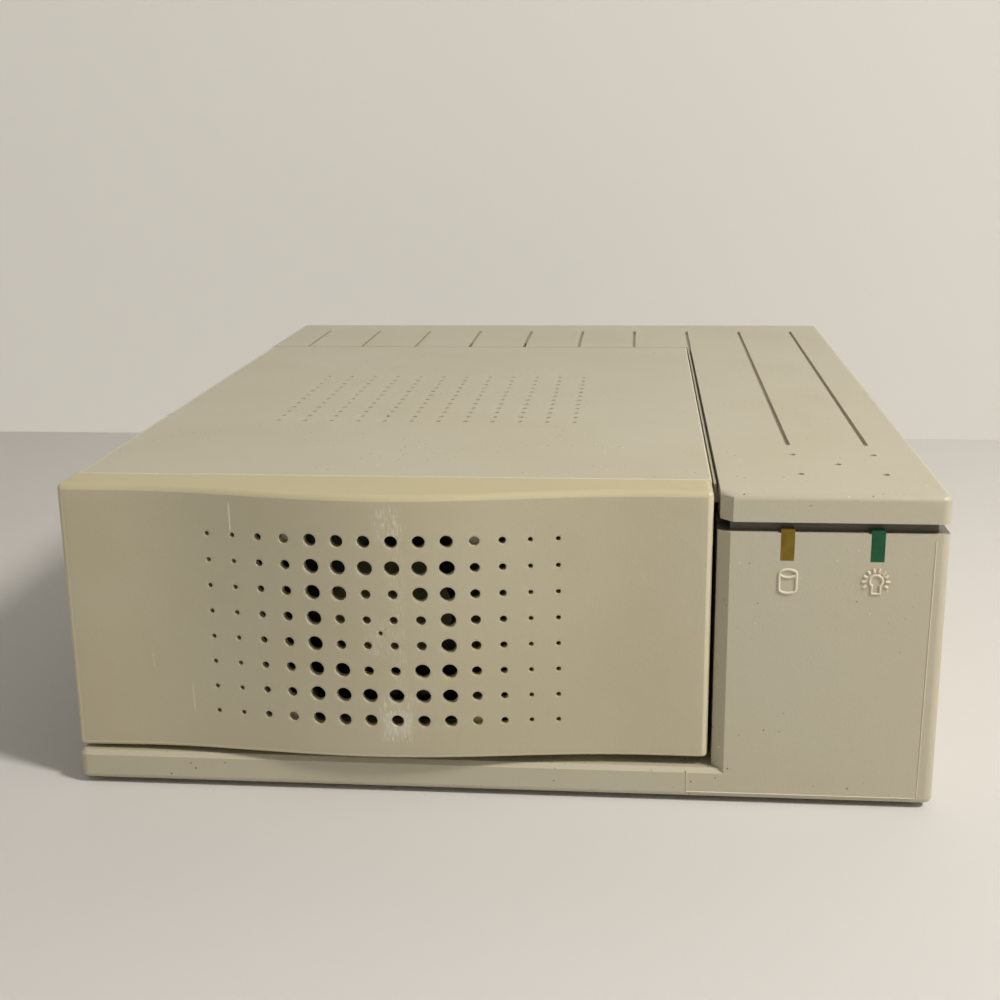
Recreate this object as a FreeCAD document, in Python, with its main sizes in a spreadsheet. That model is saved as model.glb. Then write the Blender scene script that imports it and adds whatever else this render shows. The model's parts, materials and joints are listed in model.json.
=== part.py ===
import FreeCAD, Part
import math
import os

import Sketcher

# An external disk drive in a flat desktop case, in millimetres.
# X runs to the right, Y to the back and Z up. The origin is under the middle of the case, on the desk.

SIZES = {
    # the case
    "case_width": 165.0,
    "case_depth": 210.0,
    "case_height": 59.9,
    "wall": 2.4,
    "foot_proud": 1.0,
    "seam_gap": 0.3,
    # the base and its column
    "ledge_height": 5.9,
    "ledge_depth": 9.0,
    "ledge_bevel": 0.8,
    "column_width": 41.2,
    "lid_height": 7.2,
    "column_chamfer": 2.2,
    "column_return": 14.0,
    "corner_radius": 1.8,
    "reveal_height": 2.0,
    "reveal_depth": 2.0,
    "under_radius": 1.2,
    "tongue_rib": 1.6,
    "rib_root": 5.0,
    "boss_radius": 3.6,
    "boss_inset": 9.0,
    "boss_height": 30.0,
    "boss_front": 27.0,
    "boss_side_depth": 30.0,
    "boss_back_depth": 20.0,
    "boss_bay_depth": 10.5,
    "post_radius": 2.6,
    "cradle_half": 20.0,
    "cradle_lip": 1.0,
    "keeper_start": 1.5,
    "keeper_length": 3.5,
    "keeper_wall": 1.6,
    "plate_rib": 1.6,
    # the front panel
    "panel_gap": 0.8,
    "panel_foot_gap": 0.6,
    "panel_setback": 1.2,
    "panel_wall": 2.2,
    "flange_depth": 9.7,
    "bow_depth": 6.0,
    "bow_width": 100.0,
    "panel_edge_radius": 0.9,
    "tongue_width": 9.0,
    "tongue_thickness": 1.6,
    "tongue_length": 6.0,
    "tongue_root": 5.0,
    "tongue_spread": 38.0,
    # the perforation of the front panel
    "front_pitch_x": 5.06,
    "front_pitch_z": 5.12,
    "rim_hole": 0.95,
    "inner_rim_hole": 0.95,
    "small_hole": 1.4,
    "step_hole": 1.9,
    "edge_row_hole": 2.3,
    "large_hole": 2.75,
    "hub_hole": 1.8,
    "centre_hole": 1.5,
    "pin_hole": 0.9,
    # the bay cover
    "rear_strip_depth": 44.7,
    "cover_tab_width": 12.0,
    "cover_tab_depth": 2.0,
    "cover_tab_drop": 5.0,
    "cover_lip": 5.0,
    "top_pitch_x": 6.08,
    "top_pitch_y": 5.0,
    "top_hole": 1.4,
    "top_holes_start": 60.4,
    # the top housing
    "housing_gap": 1.2,
    "lip_radius": 1.2,
    "shelf_thickness": 1.6,
    "shelf_reach": 2.0,
    "gap_rib": 0.45,
    "gap_rib_drop": 0.7,
    "screw_bite": 6.0,
    "groove_width": 0.9,
    "groove_depth": 0.8,
    "groove_inset": 9.5,
    "groove_start": 39.6,
    "groove_end_depth": 13.0,
    "strip_groove_spacing": 15.7,
    "rear_groove_inset": 11.45,
    "slot_length": 9.0,
    "slot_inset": 2.7,
    "dimple": 1.5,
    "dimple_spread": 7.9,
    "dimple_middle": 23.2,
    # the lamps
    "lens_width": 2.5,
    "lens_height": 5.2,
    "lens_length": 8.0,
    "lens_rise": 0.6,
    "activity_inset": 28.75,
    "power_inset": 12.75,
    "led_radius": 1.5,
    "led_length": 3.4,
    "led_board_width": 26.0,
    "led_board_height": 14.0,
    "board_thickness": 1.6,
    # the feet
    "foot_radius": 6.0,
    "foot_inset_x": 10.0,
    "foot_front": 14.0,
    "foot_rear": 8.0,
    "foot_recess": 0.8,
    # the fan
    "fan_headroom": 9.9,
    "fan_depth": 15.0,
    "fan_start": 11.0,
    "fan_rise": 2.35,
    "fan_bore_wall": 0.8,
    "fan_hole_inset": 5.0,
    "fan_screw": 1.6,
    "fan_flange": 2.6,
    "hub_radius": 12.0,
    "blade_tip_gap": 1.4,
    "blade_count": 7.0,
    "blade_thickness": 1.0,
    "fan_duct_wall": 1.4,
    "fan_spoke": 3.0,
    "fan_end_gap": 0.6,
    "hub_wall": 1.4,
    "axle_radius": 1.5,
    "axle_play": 0.05,
    "blade_root_rise": 3.4,
    "blade_root_run": 3.6,
    "blade_tip_rise": 6.0,
    "blade_tip_run": 2.6,
    # the disk mechanism
    "drive_side_room": 10.7,
    "drive_rear_room": 28.0,
    "drive_headroom": 8.0,
    "drive_start": 36.0,
    "drive_floor": 8.2,
    "drive_board_space": 5.6,
    "chip_height": 2.0,
    "header_width": 66.0,
    "header_setback": 8.0,
    "drive_screw_height": 11.0,
    "motor_height": 5.0,
    "shaft_radius": 3.0,
    "stack_headroom": 2.3,
    "stack_margin": 6.0,
    "pivot_post_radius": 4.0,
    "pivot_end": 2.0,
    "arm_headroom": 0.3,
    "arm_tip": 4.0,
    "arm_rest_angle": 0.0,
    "magnet_gap": 1.0,
    "magnet_half": 16.0,
    "magnet_web": 2.0,
    "casting_wall": 2.6,
    "casting_floor": 5.0,
    "lid_thickness": 1.4,
    "platter_side_room": 3.3,
    "platter_arm_room": 19.7,
    "platter_thickness": 0.9,
    "platter_first": 5.0,
    "hub_ring_radius": 12.5,
    "spindle_radius": 17.0,
    "running_gap": 0.3,
    "arm_pivot_radius": 9.0,
    "arm_pivot_inset": 20.8,
    "arm_pivot_depth": 28.0,
    "arm_reach": 56.0,
    "arm_width": 9.0,
    "arm_thickness": 1.6,
    "coil_reach": 20.0,
    "coil_width": 22.0,
    "magnet_thickness": 3.0,
    "bracket_thickness": 1.2,
    "bracket_start": 62.0,
    "bracket_short": 38.0,
    "bracket_side": 16.0,
    "bracket_floor": 5.0,
    "bracket_window_inset": 22.0,
    "grommet_radius": 4.5,
    "grommet_inset": 12.0,
    "screw_radius": 1.6,
    "screw_head": 2.9,
    "screw_head_height": 1.6,
    # the power supply
    "supply_start": 46.0,
    "supply_rear_room": 38.0,
    "supply_board_inset": 2.0,
    "supply_board_z": 8.4,
    "transformer_width": 26.0,
    "transformer_length": 30.0,
    "transformer_height": 24.0,
    "transformer_start": 96.0,
    "transformer_limb": 5.0,
    "coil_bulge": 1.5,
    "capacitor_start": 14.0,
    "capacitor_gap": 1.0,
    "sink_gap": 6.0,
    "sink_spine": 2.0,
    "sink_half": 11.0,
    "sink_fin": 1.2,
    "capacitor_radius": 6.5,
    "capacitor_height": 24.0,
    "sink_height": 30.0,
    "sink_fins": 6.0,
    "shield_thickness": 0.8,
    "shield_height": 46.0,
    "shield_flange": 8.0,
    # the rear
    "plate_recess": 6.0,
    "plate_thickness": 1.2,
    "connector_offset": 0.5,
    "connector_low_z": 16.5,
    "connector_headroom": 15.5,
    "flange_width": 83.0,
    "flange_height": 15.4,
    "shell_width": 67.0,
    "shell_height": 12.0,
    "shell_proud": 5.0,
    "shell_wall": 1.0,
    "tongue_bar": 3.4,
    "connector_back": 11.0,
    "bail_wire": 0.7,
    "bail_share": 0.56,
    "bail_inset": 3.2,
    "bail_bend": 1.6,
    "bail_stand": 2.2,
    "ear_offset": 6.2,
    "ear_thickness": 1.2,
    "ear_half": 1.6,
    "flange_thickness": 1.4,
    "inlet_inset": 20.5,
    "inlet_height_up": 16.0,
    "inlet_width": 27.6,
    "inlet_height": 20.4,
    "inlet_mouth_width": 22.6,
    "inlet_mouth_height": 16.0,
    "inlet_depth": 17.0,
    "inlet_wall": 2.0,
    "inlet_corner": 4.0,
    "bezel_thickness": 2.0,
    "inlet_pin_rise": 4.0,
    "inlet_pin_width": 2.0,
    "inlet_pin_height": 4.0,
    "inlet_pin_length": 11.0,
    "inlet_pin_spacing": 7.0,
    "rocker_inset": 29.5,
    "rocker_headroom": 5.5,
    "rocker_width": 13.0,
    "rocker_foot_room": 5.8,
    "rocker_frame": 1.6,
    "rocker_depth": 14.0,
    "rocker_tilt": 8.0,
    "rocker_gap": 0.4,
    "rocker_end_gap": 1.0,
    "rocker_pivot_depth": 2.0,
    "rocker_keel": 3.0,
    "rocker_proud": 1.4,
    "rocker_slope": 1.2,
    "rocker_dish": 1.6,
    "rocker_pin": 1.2,
    "rocker_pin_gap": 0.05,
    "switch_inset": 11.5,
    "switch_headroom": 3.5,
    "switch_width": 9.0,
    "switch_foot_room": 3.8,
    "switch_depth": 13.0,
    "switch_frame": 1.3,
    "wheel_room": 1.5,
    "wheel_width": 4.0,
    "button_height": 3.6,
    "button_proud": 1.6,
    "button_depth": 6.0,
    "button_gap": 0.3,
    "wheel_axle": 1.2,
    "wheel_axle_end": 1.6,
    "button_travel": 1.2,
    "ribbon_thickness": 0.9,
    "ribbon_width": 60.0,
    "ribbon_bend": 4.0,
    "ribbon_top": 3.0,
    "lead_radius": 1.2,
    "lead_bend": 2.2,
    "lead_pitch": 4.0,
    "lead_inset": 9.0,
    "lead_run": 2.4,
    "terminal_end": 3.0,
    "terminal_depth": 6.0,
    "terminal_height": 6.0,
    "fan_lead_inset": 10.0,
    "fan_lead_edge": 1.8,
    "drive_socket_inset": 9.3,
}

# How far a quarter arc of radius 1 swells from its chord, and how far a cutting tool runs past the piece
QUARTER_BULGE = 1 - math.sqrt(0.5)
CUT_OVER = 1.0
WIRE_SIDES = 4
WHEEL_SIDES = 16
ROUND_SIDES = 16
DUCT_SIDES = 24
DISK_SIDES = 32
BOW_FLATS = 10
FULL_TURN = 360

os.makedirs("parts", exist_ok=True)
doc = FreeCAD.newDocument("desktop_drive")
sheet = doc.addObject("Spreadsheet::Sheet", "sizes")
for row, (word, number) in enumerate(SIZES.items(), start=1):
    sheet.set(f"A{row}", word)
    sheet.set(f"B{row}", str(number))
    sheet.setAlias(f"B{row}", word)
doc.recompute()


class Size:
    """A length worked out from the sheet: its number, and the expression that binds a property to it."""

    def __init__(self, number, text):
        self.number = float(number)
        self.text = text

    def __add__(self, other):
        other = size(other)
        return Size(self.number + other.number, f"({self.text} + {other.text})")

    def __sub__(self, other):
        other = size(other)
        return Size(self.number - other.number, f"({self.text} - {other.text})")

    def __mul__(self, other):
        other = size(other)
        return Size(self.number * other.number, f"({self.text} * {other.text})")

    def __truediv__(self, other):
        other = size(other)
        return Size(self.number / other.number, f"({self.text} / {other.text})")

    def __neg__(self):
        return Size(-self.number, f"(0 - {self.text})")

    __radd__ = __add__
    __rmul__ = __mul__

    def __rsub__(self, other):
        return size(other) - self


def size(value):
    """A Size from a Size or a plain number."""
    return value if isinstance(value, Size) else Size(value, f"({value})")


def least(one, other):
    """The smaller of two lengths."""
    one, other = size(one), size(other)
    return Size(min(one.number, other.number), f"min({one.text}; {other.text})")


def cell(word):
    """The Size held by the sheet under this alias."""
    return Size(getattr(sheet, word), f"sizes.{word}")


class Cells:
    """The sheet's cells as attributes: d.wall is the Size of the cell named wall."""

    def __getattr__(self, word):
        return cell(word)


d = Cells()


def bind(thing, prop, value):
    thing.setExpression(prop, size(value).text)


def place(thing, x, y, z):
    """Bind the thing's position to three sizes."""
    bind(thing, "Placement.Base.x", x)
    bind(thing, "Placement.Base.y", y)
    bind(thing, "Placement.Base.z", z)


def block(name, xs, ys, zs):
    """A box between two sizes on each axis."""
    box = doc.addObject("Part::Box", name)
    bind(box, "Length", size(xs[1]) - xs[0])
    bind(box, "Width", size(ys[1]) - ys[0])
    bind(box, "Height", size(zs[1]) - zs[0])
    place(box, xs[0], ys[0], zs[0])
    return box


TURNS = {
    "x": FreeCAD.Rotation(FreeCAD.Vector(0, 1, 0), 90),
    "y": FreeCAD.Rotation(FreeCAD.Vector(1, 0, 0), -90),
    "z": FreeCAD.Rotation(),
}


def rod(name, along, centre, radius, length):
    """A cylinder that starts at the centre given and runs along x, y or z."""
    cylinder = doc.addObject("Part::Cylinder", name)
    bind(cylinder, "Radius", radius)
    bind(cylinder, "Height", length)
    cylinder.Placement = FreeCAD.Placement(FreeCAD.Vector(), TURNS[along])
    place(cylinder, *centre)
    return cylinder


def prism(name, along, centre, radius, length, sides=8):
    """A regular prism that starts at the centre given and runs along x, y or z."""
    bar = doc.addObject("Part::Prism", name)
    bar.Polygon = sides
    bind(bar, "Circumradius", radius)
    bind(bar, "Height", length)
    bar.Placement = FreeCAD.Placement(FreeCAD.Vector(), TURNS[along])
    place(bar, *centre)
    return bar


def fuse(name, *pieces):
    joined = doc.addObject("Part::MultiFuse", name)
    joined.Shapes = list(pieces)
    joined.Refine = True
    return joined


def group(name, *pieces):
    """Separate solids kept in one sub-part."""
    bundle = doc.addObject("Part::Compound", name)
    bundle.Links = list(pieces)
    return bundle


def cut(name, base, *tools):
    """The base with the tools taken away."""
    tool = tools[0] if len(tools) == 1 else fuse(name + "_tool", *tools)
    result = doc.addObject("Part::Cut", name)
    result.Base = base
    result.Tool = tool
    result.Refine = True
    return result


def common(name, one, other):
    result = doc.addObject("Part::Common", name)
    result.Base = one
    result.Tool = other
    return result


def fixed(name, shape):
    """A sub-part whose shape is worked out below from the sheet's numbers."""
    feature = doc.addObject("Part::Feature", name)
    feature.Shape = shape
    feature.Placement = FreeCAD.Placement()
    return feature


def body(name):
    return doc.addObject("PartDesign::Body", name)


def sketch(owner, name, role, offset=None):
    """An empty sketch on one of the body's own planes, moved along its normal by the offset."""
    drawing = owner.newObject("Sketcher::SketchObject", name)
    plane = next(item for item in owner.Origin.OriginFeatures if item.Role == role)
    drawing.AttachmentSupport = [(plane, "")]
    drawing.MapMode = "FlatFace"
    if offset is not None:
        bind(drawing, "AttachmentOffset.Base.z", offset)
    return drawing


def pin_point(drawing, index, end, x, y):
    """Hold one end of a line or arc at a place, given from the sketch's origin."""
    for kind, value in (("DistanceX", size(x)), ("DistanceY", size(y))):
        number = drawing.addConstraint(Sketcher.Constraint(kind, -1, 1, index, end, value.number))
        drawing.setExpression(f"Constraints[{number}]", value.text)


def outline(drawing, corners, bulges=None):
    """A closed outline through the corners. bulges maps a corner's number to how far the run after it swells."""
    bulges = bulges or {}
    points = [(size(x), size(y)) for x, y in corners]
    ends = []
    for number, (x, y) in enumerate(points):
        next_x, next_y = points[(number + 1) % len(points)]
        start = FreeCAD.Vector(x.number, y.number, 0)
        stop = FreeCAD.Vector(next_x.number, next_y.number, 0)
        if number in bulges:
            middle = (start + stop) / 2
            across = FreeCAD.Vector((stop - start).y, (start - stop).x, 0).normalize()
            curve = Part.Arc(start, middle + across * bulges[number].number, stop)
            index = drawing.addGeometry(curve, False)
            first = 1 if drawing.getPoint(index, 1).distanceToPoint(start) < 1e-6 else 2
            swell = bulges[number]
            run, climb = next_x - x, next_y - y
            radius = ((run * run + climb * climb) / 4 + swell * swell) / 2 / swell
            radius = radius if swell.number > 0 else -radius
            bow = drawing.addConstraint(Sketcher.Constraint("Radius", index, radius.number))
            drawing.setExpression(f"Constraints[{bow}]", radius.text)
            ends.append((index, first, 3 - first))
        else:
            index = drawing.addGeometry(Part.LineSegment(start, stop), False)
            ends.append((index, 1, 2))
    for number, (x, y) in enumerate(points):
        before = ends[number - 1]
        here = ends[number]
        drawing.addConstraint(Sketcher.Constraint("Coincident", before[0], before[2], here[0], here[1]))
        pin_point(drawing, here[0], here[1], x, y)


def disc(drawing, x, y, radius):
    """A full circle with its centre and radius bound."""
    x, y, radius = size(x), size(y), size(radius)
    centre = FreeCAD.Vector(x.number, y.number, 0)
    index = drawing.addGeometry(Part.Circle(centre, FreeCAD.Vector(0, 0, 1), radius.number), False)
    number = drawing.addConstraint(Sketcher.Constraint("Radius", index, radius.number))
    drawing.setExpression(f"Constraints[{number}]", radius.text)
    pin_point(drawing, index, 3, x, y)


def pad(owner, name, drawing, length):
    feature = owner.newObject("PartDesign::Pad", name)
    feature.Profile = drawing
    bind(feature, "Length", length)
    drawing.Visibility = False
    return feature


def pocket(owner, name, drawing, length, backwards=False):
    feature = owner.newObject("PartDesign::Pocket", name)
    feature.Profile = drawing
    bind(feature, "Length", length)
    feature.Reversed = backwards
    return feature


def edges_where(shape, test):
    """Names of the shape's edges whose middle point and direction pass the test."""
    names = []
    for number, edge in enumerate(shape.Edges, start=1):
        box = edge.BoundBox
        if test(box.Center, FreeCAD.Vector(box.XLength, box.YLength, box.ZLength)):
            names.append(f"Edge{number}")
    return names


def round_edges(owner, name, base, radius, test):
    """Fillet the edges of the base feature that pass the test."""
    doc.recompute()
    feature = owner.newObject("PartDesign::Fillet", name)
    feature.Base = (base, edges_where(base.Shape, test))
    bind(feature, "Radius", radius)
    return feature


def wire(points, bend, radius):
    """A wire or lead along straight runs, with each corner of the bend radius turned in two chords."""
    stops = [points[0]]
    for before, corner, after in zip(points, points[1:], points[2:]):
        into = (corner - before).normalize()
        out = (after - corner).normalize()
        stops.extend([
            corner - into * bend, corner + (out - into) * bend * QUARTER_BULGE, corner + out * bend,
        ])
    stops.append(points[-1])
    along = (points[1] - points[0]).normalize()
    side = FreeCAD.Vector(1, 0, 0) if abs(along.x) < abs(along.y) + abs(along.z) else FreeCAD.Vector(0, 1, 0)
    other = along.cross(side)
    turns = [2 * math.pi * (step + 1 / 2) / WIRE_SIDES for step in range(WIRE_SIDES + 1)]
    ring = Part.makePolygon([
        points[0] + side * (radius * math.cos(turn)) + other * (radius * math.sin(turn)) for turn in turns
    ])
    return Part.makePolygon(stops).makePipeShell([ring], True, False, 1)


PARTS = []


def keep(node, thing):
    """Give the finished sub-part its name and put it on the list of files."""
    thing.Label = node
    PARTS.append((node, thing))
    return thing


# Planes that the whole case is laid out from
left = -d.case_width / 2
right = d.case_width / 2
face = (d.bow_depth - d.panel_setback - d.case_depth) / 2
back = face + d.case_depth
base = d.foot_proud
floor = base + d.wall
top = base + d.case_height
ceiling = top - d.wall
sill = base + d.ledge_height
column_height = d.case_height - d.lid_height
column_top = base + column_height
lip_bottom = column_top + d.reveal_height
column_x = right - d.column_width
panel_right = column_x - d.panel_gap
lid_x = panel_right + d.housing_gap
bay_x = (left + panel_right) / 2
bay_half = (panel_right - left) / 2
seam_y = face + d.flange_depth
cover_front = seam_y + d.seam_gap
strip_y = back - d.rear_strip_depth
cover_back = strip_y - d.seam_gap
plate_y = back - d.plate_recess - d.plate_thickness
bail_y = back - d.plate_recess + d.flange_thickness + d.bail_stand
inlet_z = base + d.inlet_height_up
inlet_top = inlet_z + d.inlet_height / 2
rocker_height = ceiling - d.rocker_headroom - inlet_top - d.rocker_foot_room
rocker_z = ceiling - d.rocker_headroom - rocker_height / 2
switch_height = ceiling - d.switch_headroom - inlet_top - d.switch_foot_room
switch_z = ceiling - d.switch_headroom - switch_height / 2
inlet_x = right - d.inlet_inset
rocker_x = right - d.rocker_inset
switch_x = right - d.switch_inset
connector_x = bay_x + d.connector_offset
upper_z = ceiling - d.connector_headroom
fan_y = face + d.fan_start
fan_z = base + d.case_height / 2 + d.fan_rise
fan_back = fan_y + d.fan_depth
fan_half = (d.case_height - d.fan_headroom) / 2
fan_bore = fan_half - d.fan_bore_wall
supply_left = column_x + d.wall + d.supply_board_inset
supply_right = right - d.reveal_depth - d.tongue_rib - d.supply_board_inset
supply_y = face + d.supply_start
drive_width = 2 * bay_half - 2 * d.drive_side_room
drive_length = d.case_depth - d.drive_start - d.drive_rear_room
drive_z = base + d.drive_floor
drive_height = ceiling - drive_z - d.drive_headroom
supply_length = d.case_depth - d.supply_start - d.supply_rear_room
supply_back = supply_y + supply_length
board_z = base + d.supply_board_z
board_top_z = board_z + d.board_thickness

# Where the upright bosses stand that hold the top housing
BOSSES = [
    (right - d.boss_inset, face + d.boss_front),
    (right - d.boss_inset, back - d.boss_side_depth),
    (left + d.boss_inset, back - d.boss_back_depth),
    (panel_right - d.boss_bay_depth, back - d.boss_back_depth),
]
FEET = [
    (x, y)
    for x in (left + d.foot_inset_x, right - d.foot_inset_x)
    for y in (face + d.foot_front, back - d.foot_rear)
]
LAMPS = [("activity", right - d.activity_inset), ("power", right - d.power_inset)]
lamp_board_y = face + d.lens_length + d.led_length
fan_lead_x = supply_left + d.fan_lead_inset
drive_socket_x = bay_x + drive_width / 2 - d.drive_socket_inset
lead_z = board_top_z + d.terminal_height / 2
lamp_post_x = right - (d.activity_inset + d.power_inset) / 2
lamp_post_z = column_top - d.lens_height

REAR_GROOVES = 8
LATCH_GROOVES = (3, 4)
TOP_COLUMNS = 12
TOP_ROWS = 12
FRONT_COLUMNS = 14
FRONT_ROWS = 8
PLATTERS = 2
CAPACITORS = 3
# Centre from the drive's middle and front, and side, of each chip under its board
DRIVE_CHIPS = [(-28, 40, 22), (20, 36, 16), (-10, 84, 26), (26, 100, 18)]


def supply_posts():
    """Centres of the four posts under the supply's board."""
    inset = d.post_radius
    return [
        (x, y)
        for x in (supply_left + inset, supply_right - inset)
        for y in (supply_y + inset, supply_back - inset)
    ]


def rounded_corners(x0, x1, y0, y1, radius):
    """Corners and bulges of a rectangle with four round corners, anticlockwise from the front left."""
    corners = [
        (x0 + radius, y0), (x1 - radius, y0), (x1, y0 + radius), (x1, y1 - radius),
        (x1 - radius, y1), (x0 + radius, y1), (x0, y1 - radius), (x0, y0 + radius),
    ]
    swell = radius * QUARTER_BULGE
    return corners, {1: swell, 3: swell, 5: swell, 7: swell}


def make_base():
    """The tray with its front ledge, the solid column on the right and the stands for what it carries."""
    tray = body("base_tray")
    plan = sketch(tray, "base_plan", "XY_Plane", base)
    outline(plan, *rounded_corners(left, right, face, back, d.corner_radius))
    pad(tray, "base_block", plan, column_height)

    bay = sketch(tray, "bay_opening", "XZ_Plane", CUT_OVER - face)
    outline(bay, [
        (left - CUT_OVER, sill), (column_x, sill),
        (column_x, column_top + CUT_OVER), (left - CUT_OVER, column_top + CUT_OVER),
    ])
    pocket(tray, "bay_cut", bay, d.case_depth + 2 * CUT_OVER)

    inside = sketch(tray, "inside_plan", "XY_Plane", column_top)
    outline(inside, [
        (left + d.wall, face + d.ledge_depth), (column_x, face + d.ledge_depth),
        (column_x, face + d.column_return), (column_x + d.wall, face + d.column_return),
        (column_x + d.wall, face + d.wall), (right - d.wall, face + d.wall),
        (right - d.wall, back + CUT_OVER), (left + d.wall, back + CUT_OVER),
    ])
    hollow = pocket(tray, "inside_cut", inside, column_height - d.wall)

    def column_edge(centre, extent):
        return (
            abs(centre.x - column_x.number) < 0.01
            and abs(centre.y - face.number) < 0.01
            and extent.z > column_height.number / 2
        )

    doc.recompute()
    chamfer = tray.newObject("PartDesign::Chamfer", "column_chamfer_edge")
    chamfer.Base = (hollow, edges_where(hollow.Shape, column_edge))
    bind(chamfer, "Size", d.column_chamfer)
    doc.recompute()

    def ledge_edge(centre, extent):
        return (
            abs(centre.z - sill.number) < 0.01
            and abs(centre.y - face.number) < 0.01
            and extent.x > d.column_width.number
        )

    bevel = tray.newObject("PartDesign::Chamfer", "ledge_bevel_edge")
    bevel.Base = (chamfer, edges_where(chamfer.Shape, ledge_edge))
    bind(bevel, "Size", d.ledge_bevel)

    def under_edge(centre, extent):
        return abs(centre.z - base.number) < 0.01 and extent.z < 0.01

    round_edges(tray, "under_round", bevel, d.under_radius, under_edge)

    rib = sketch(tray, "reveal_plan", "XY_Plane", column_top - d.rib_root)
    rib_outer = right - d.reveal_depth
    rib_inner = rib_outer - d.tongue_rib
    rib_ys = (face + d.reveal_depth, face + d.reveal_depth + d.tongue_rib)
    outline(rib, [
        (lid_x + d.wall, rib_ys[0]), (rib_outer, rib_ys[0]), (rib_outer, plate_y - d.plate_rib),
        (rib_inner, plate_y - d.plate_rib), (rib_inner, rib_ys[1]), (lid_x + d.wall, rib_ys[1]),
    ])
    pad(tray, "reveal_rib", rib, ceiling - column_top + d.rib_root)

    stands = [block("reveal_end", (column_x + d.column_chamfer, lid_x + d.wall), rib_ys,
                    (column_top - d.rib_root, lip_bottom))]
    for number, (x, y) in enumerate(BOSSES):
        stands.append(prism(f"boss_{number}", "z", (x, y, base), d.boss_radius, d.boss_height))
    for number, (x, y) in enumerate(supply_posts()):
        stands.append(prism(f"supply_post_{number}", "z", (x, y, base), d.post_radius, d.supply_board_z))
    stands.append(prism("lamp_post", "y", (lamp_post_x, face, lamp_post_z), d.post_radius, lamp_board_y - face))
    lip = d.cradle_lip
    cradle = (bay_x - d.cradle_half, bay_x + d.cradle_half)
    fan_foot = fan_z - fan_half
    stands.append(block("fan_seat", cradle, (fan_y - lip, fan_back + lip), (base, fan_foot)))
    stands.append(block("fan_lip_front", cradle, (fan_y - lip, fan_y), (base, fan_foot + d.fan_flange)))
    stands.append(block("fan_lip_rear", cradle, (fan_back, fan_back + lip), (base, fan_foot + d.fan_flange)))
    for number, side in enumerate((-1, 1)):
        x = bay_x + side * d.tongue_spread
        half = d.tongue_width / 2 + d.seam_gap
        ys = (seam_y + d.keeper_start, seam_y + d.keeper_start + d.keeper_length)
        keeper = block(
            f"keeper_{number}", (x - half - d.keeper_wall, x + half + d.keeper_wall), ys,
            (base, sill + d.tongue_thickness + 2 * d.seam_gap + d.keeper_wall),
        )
        way = block(
            f"keeper_way_{number}", (x - half, x + half), (ys[0] - CUT_OVER, ys[1] + CUT_OVER),
            (sill, sill + d.tongue_thickness + 2 * d.seam_gap),
        )
        stands.append(cut(f"keeper_open_{number}", keeper, way))
    stands.append(block("plate_rib_floor", (left + d.wall / 2, right - d.wall / 2),
                        (plate_y - d.plate_rib, plate_y), (base + d.wall / 2, floor + d.plate_rib)))

    tools = []
    for number, (x, y) in enumerate(BOSSES):
        tools.append(prism(f"boss_bore_{number}", "z", (x, y, base - CUT_OVER),
                         d.screw_radius, d.boss_height + 2 * CUT_OVER))
        tools.append(prism(f"boss_sink_{number}", "z", (x, y, base - CUT_OVER),
                         d.screw_head + d.running_gap, d.screw_head_height + CUT_OVER))
    for number, (x, y) in enumerate(FEET):
        tools.append(prism(f"foot_seat_{number}", "z", (x, y, base - CUT_OVER),
                           d.foot_radius, d.foot_recess + CUT_OVER, ROUND_SIDES))
    for word, x in LAMPS:
        tools.append(block(f"{word}_notch", (x - d.lens_width / 2, x + d.lens_width / 2),
                           (face - CUT_OVER, face + d.reveal_depth + d.tongue_rib + CUT_OVER),
                           (column_top - d.lens_height, column_top + d.lens_rise)))
    keep("base_chassis", cut("base_finished", fuse("base_with_stands", tray, *stands), *tools))


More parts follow.
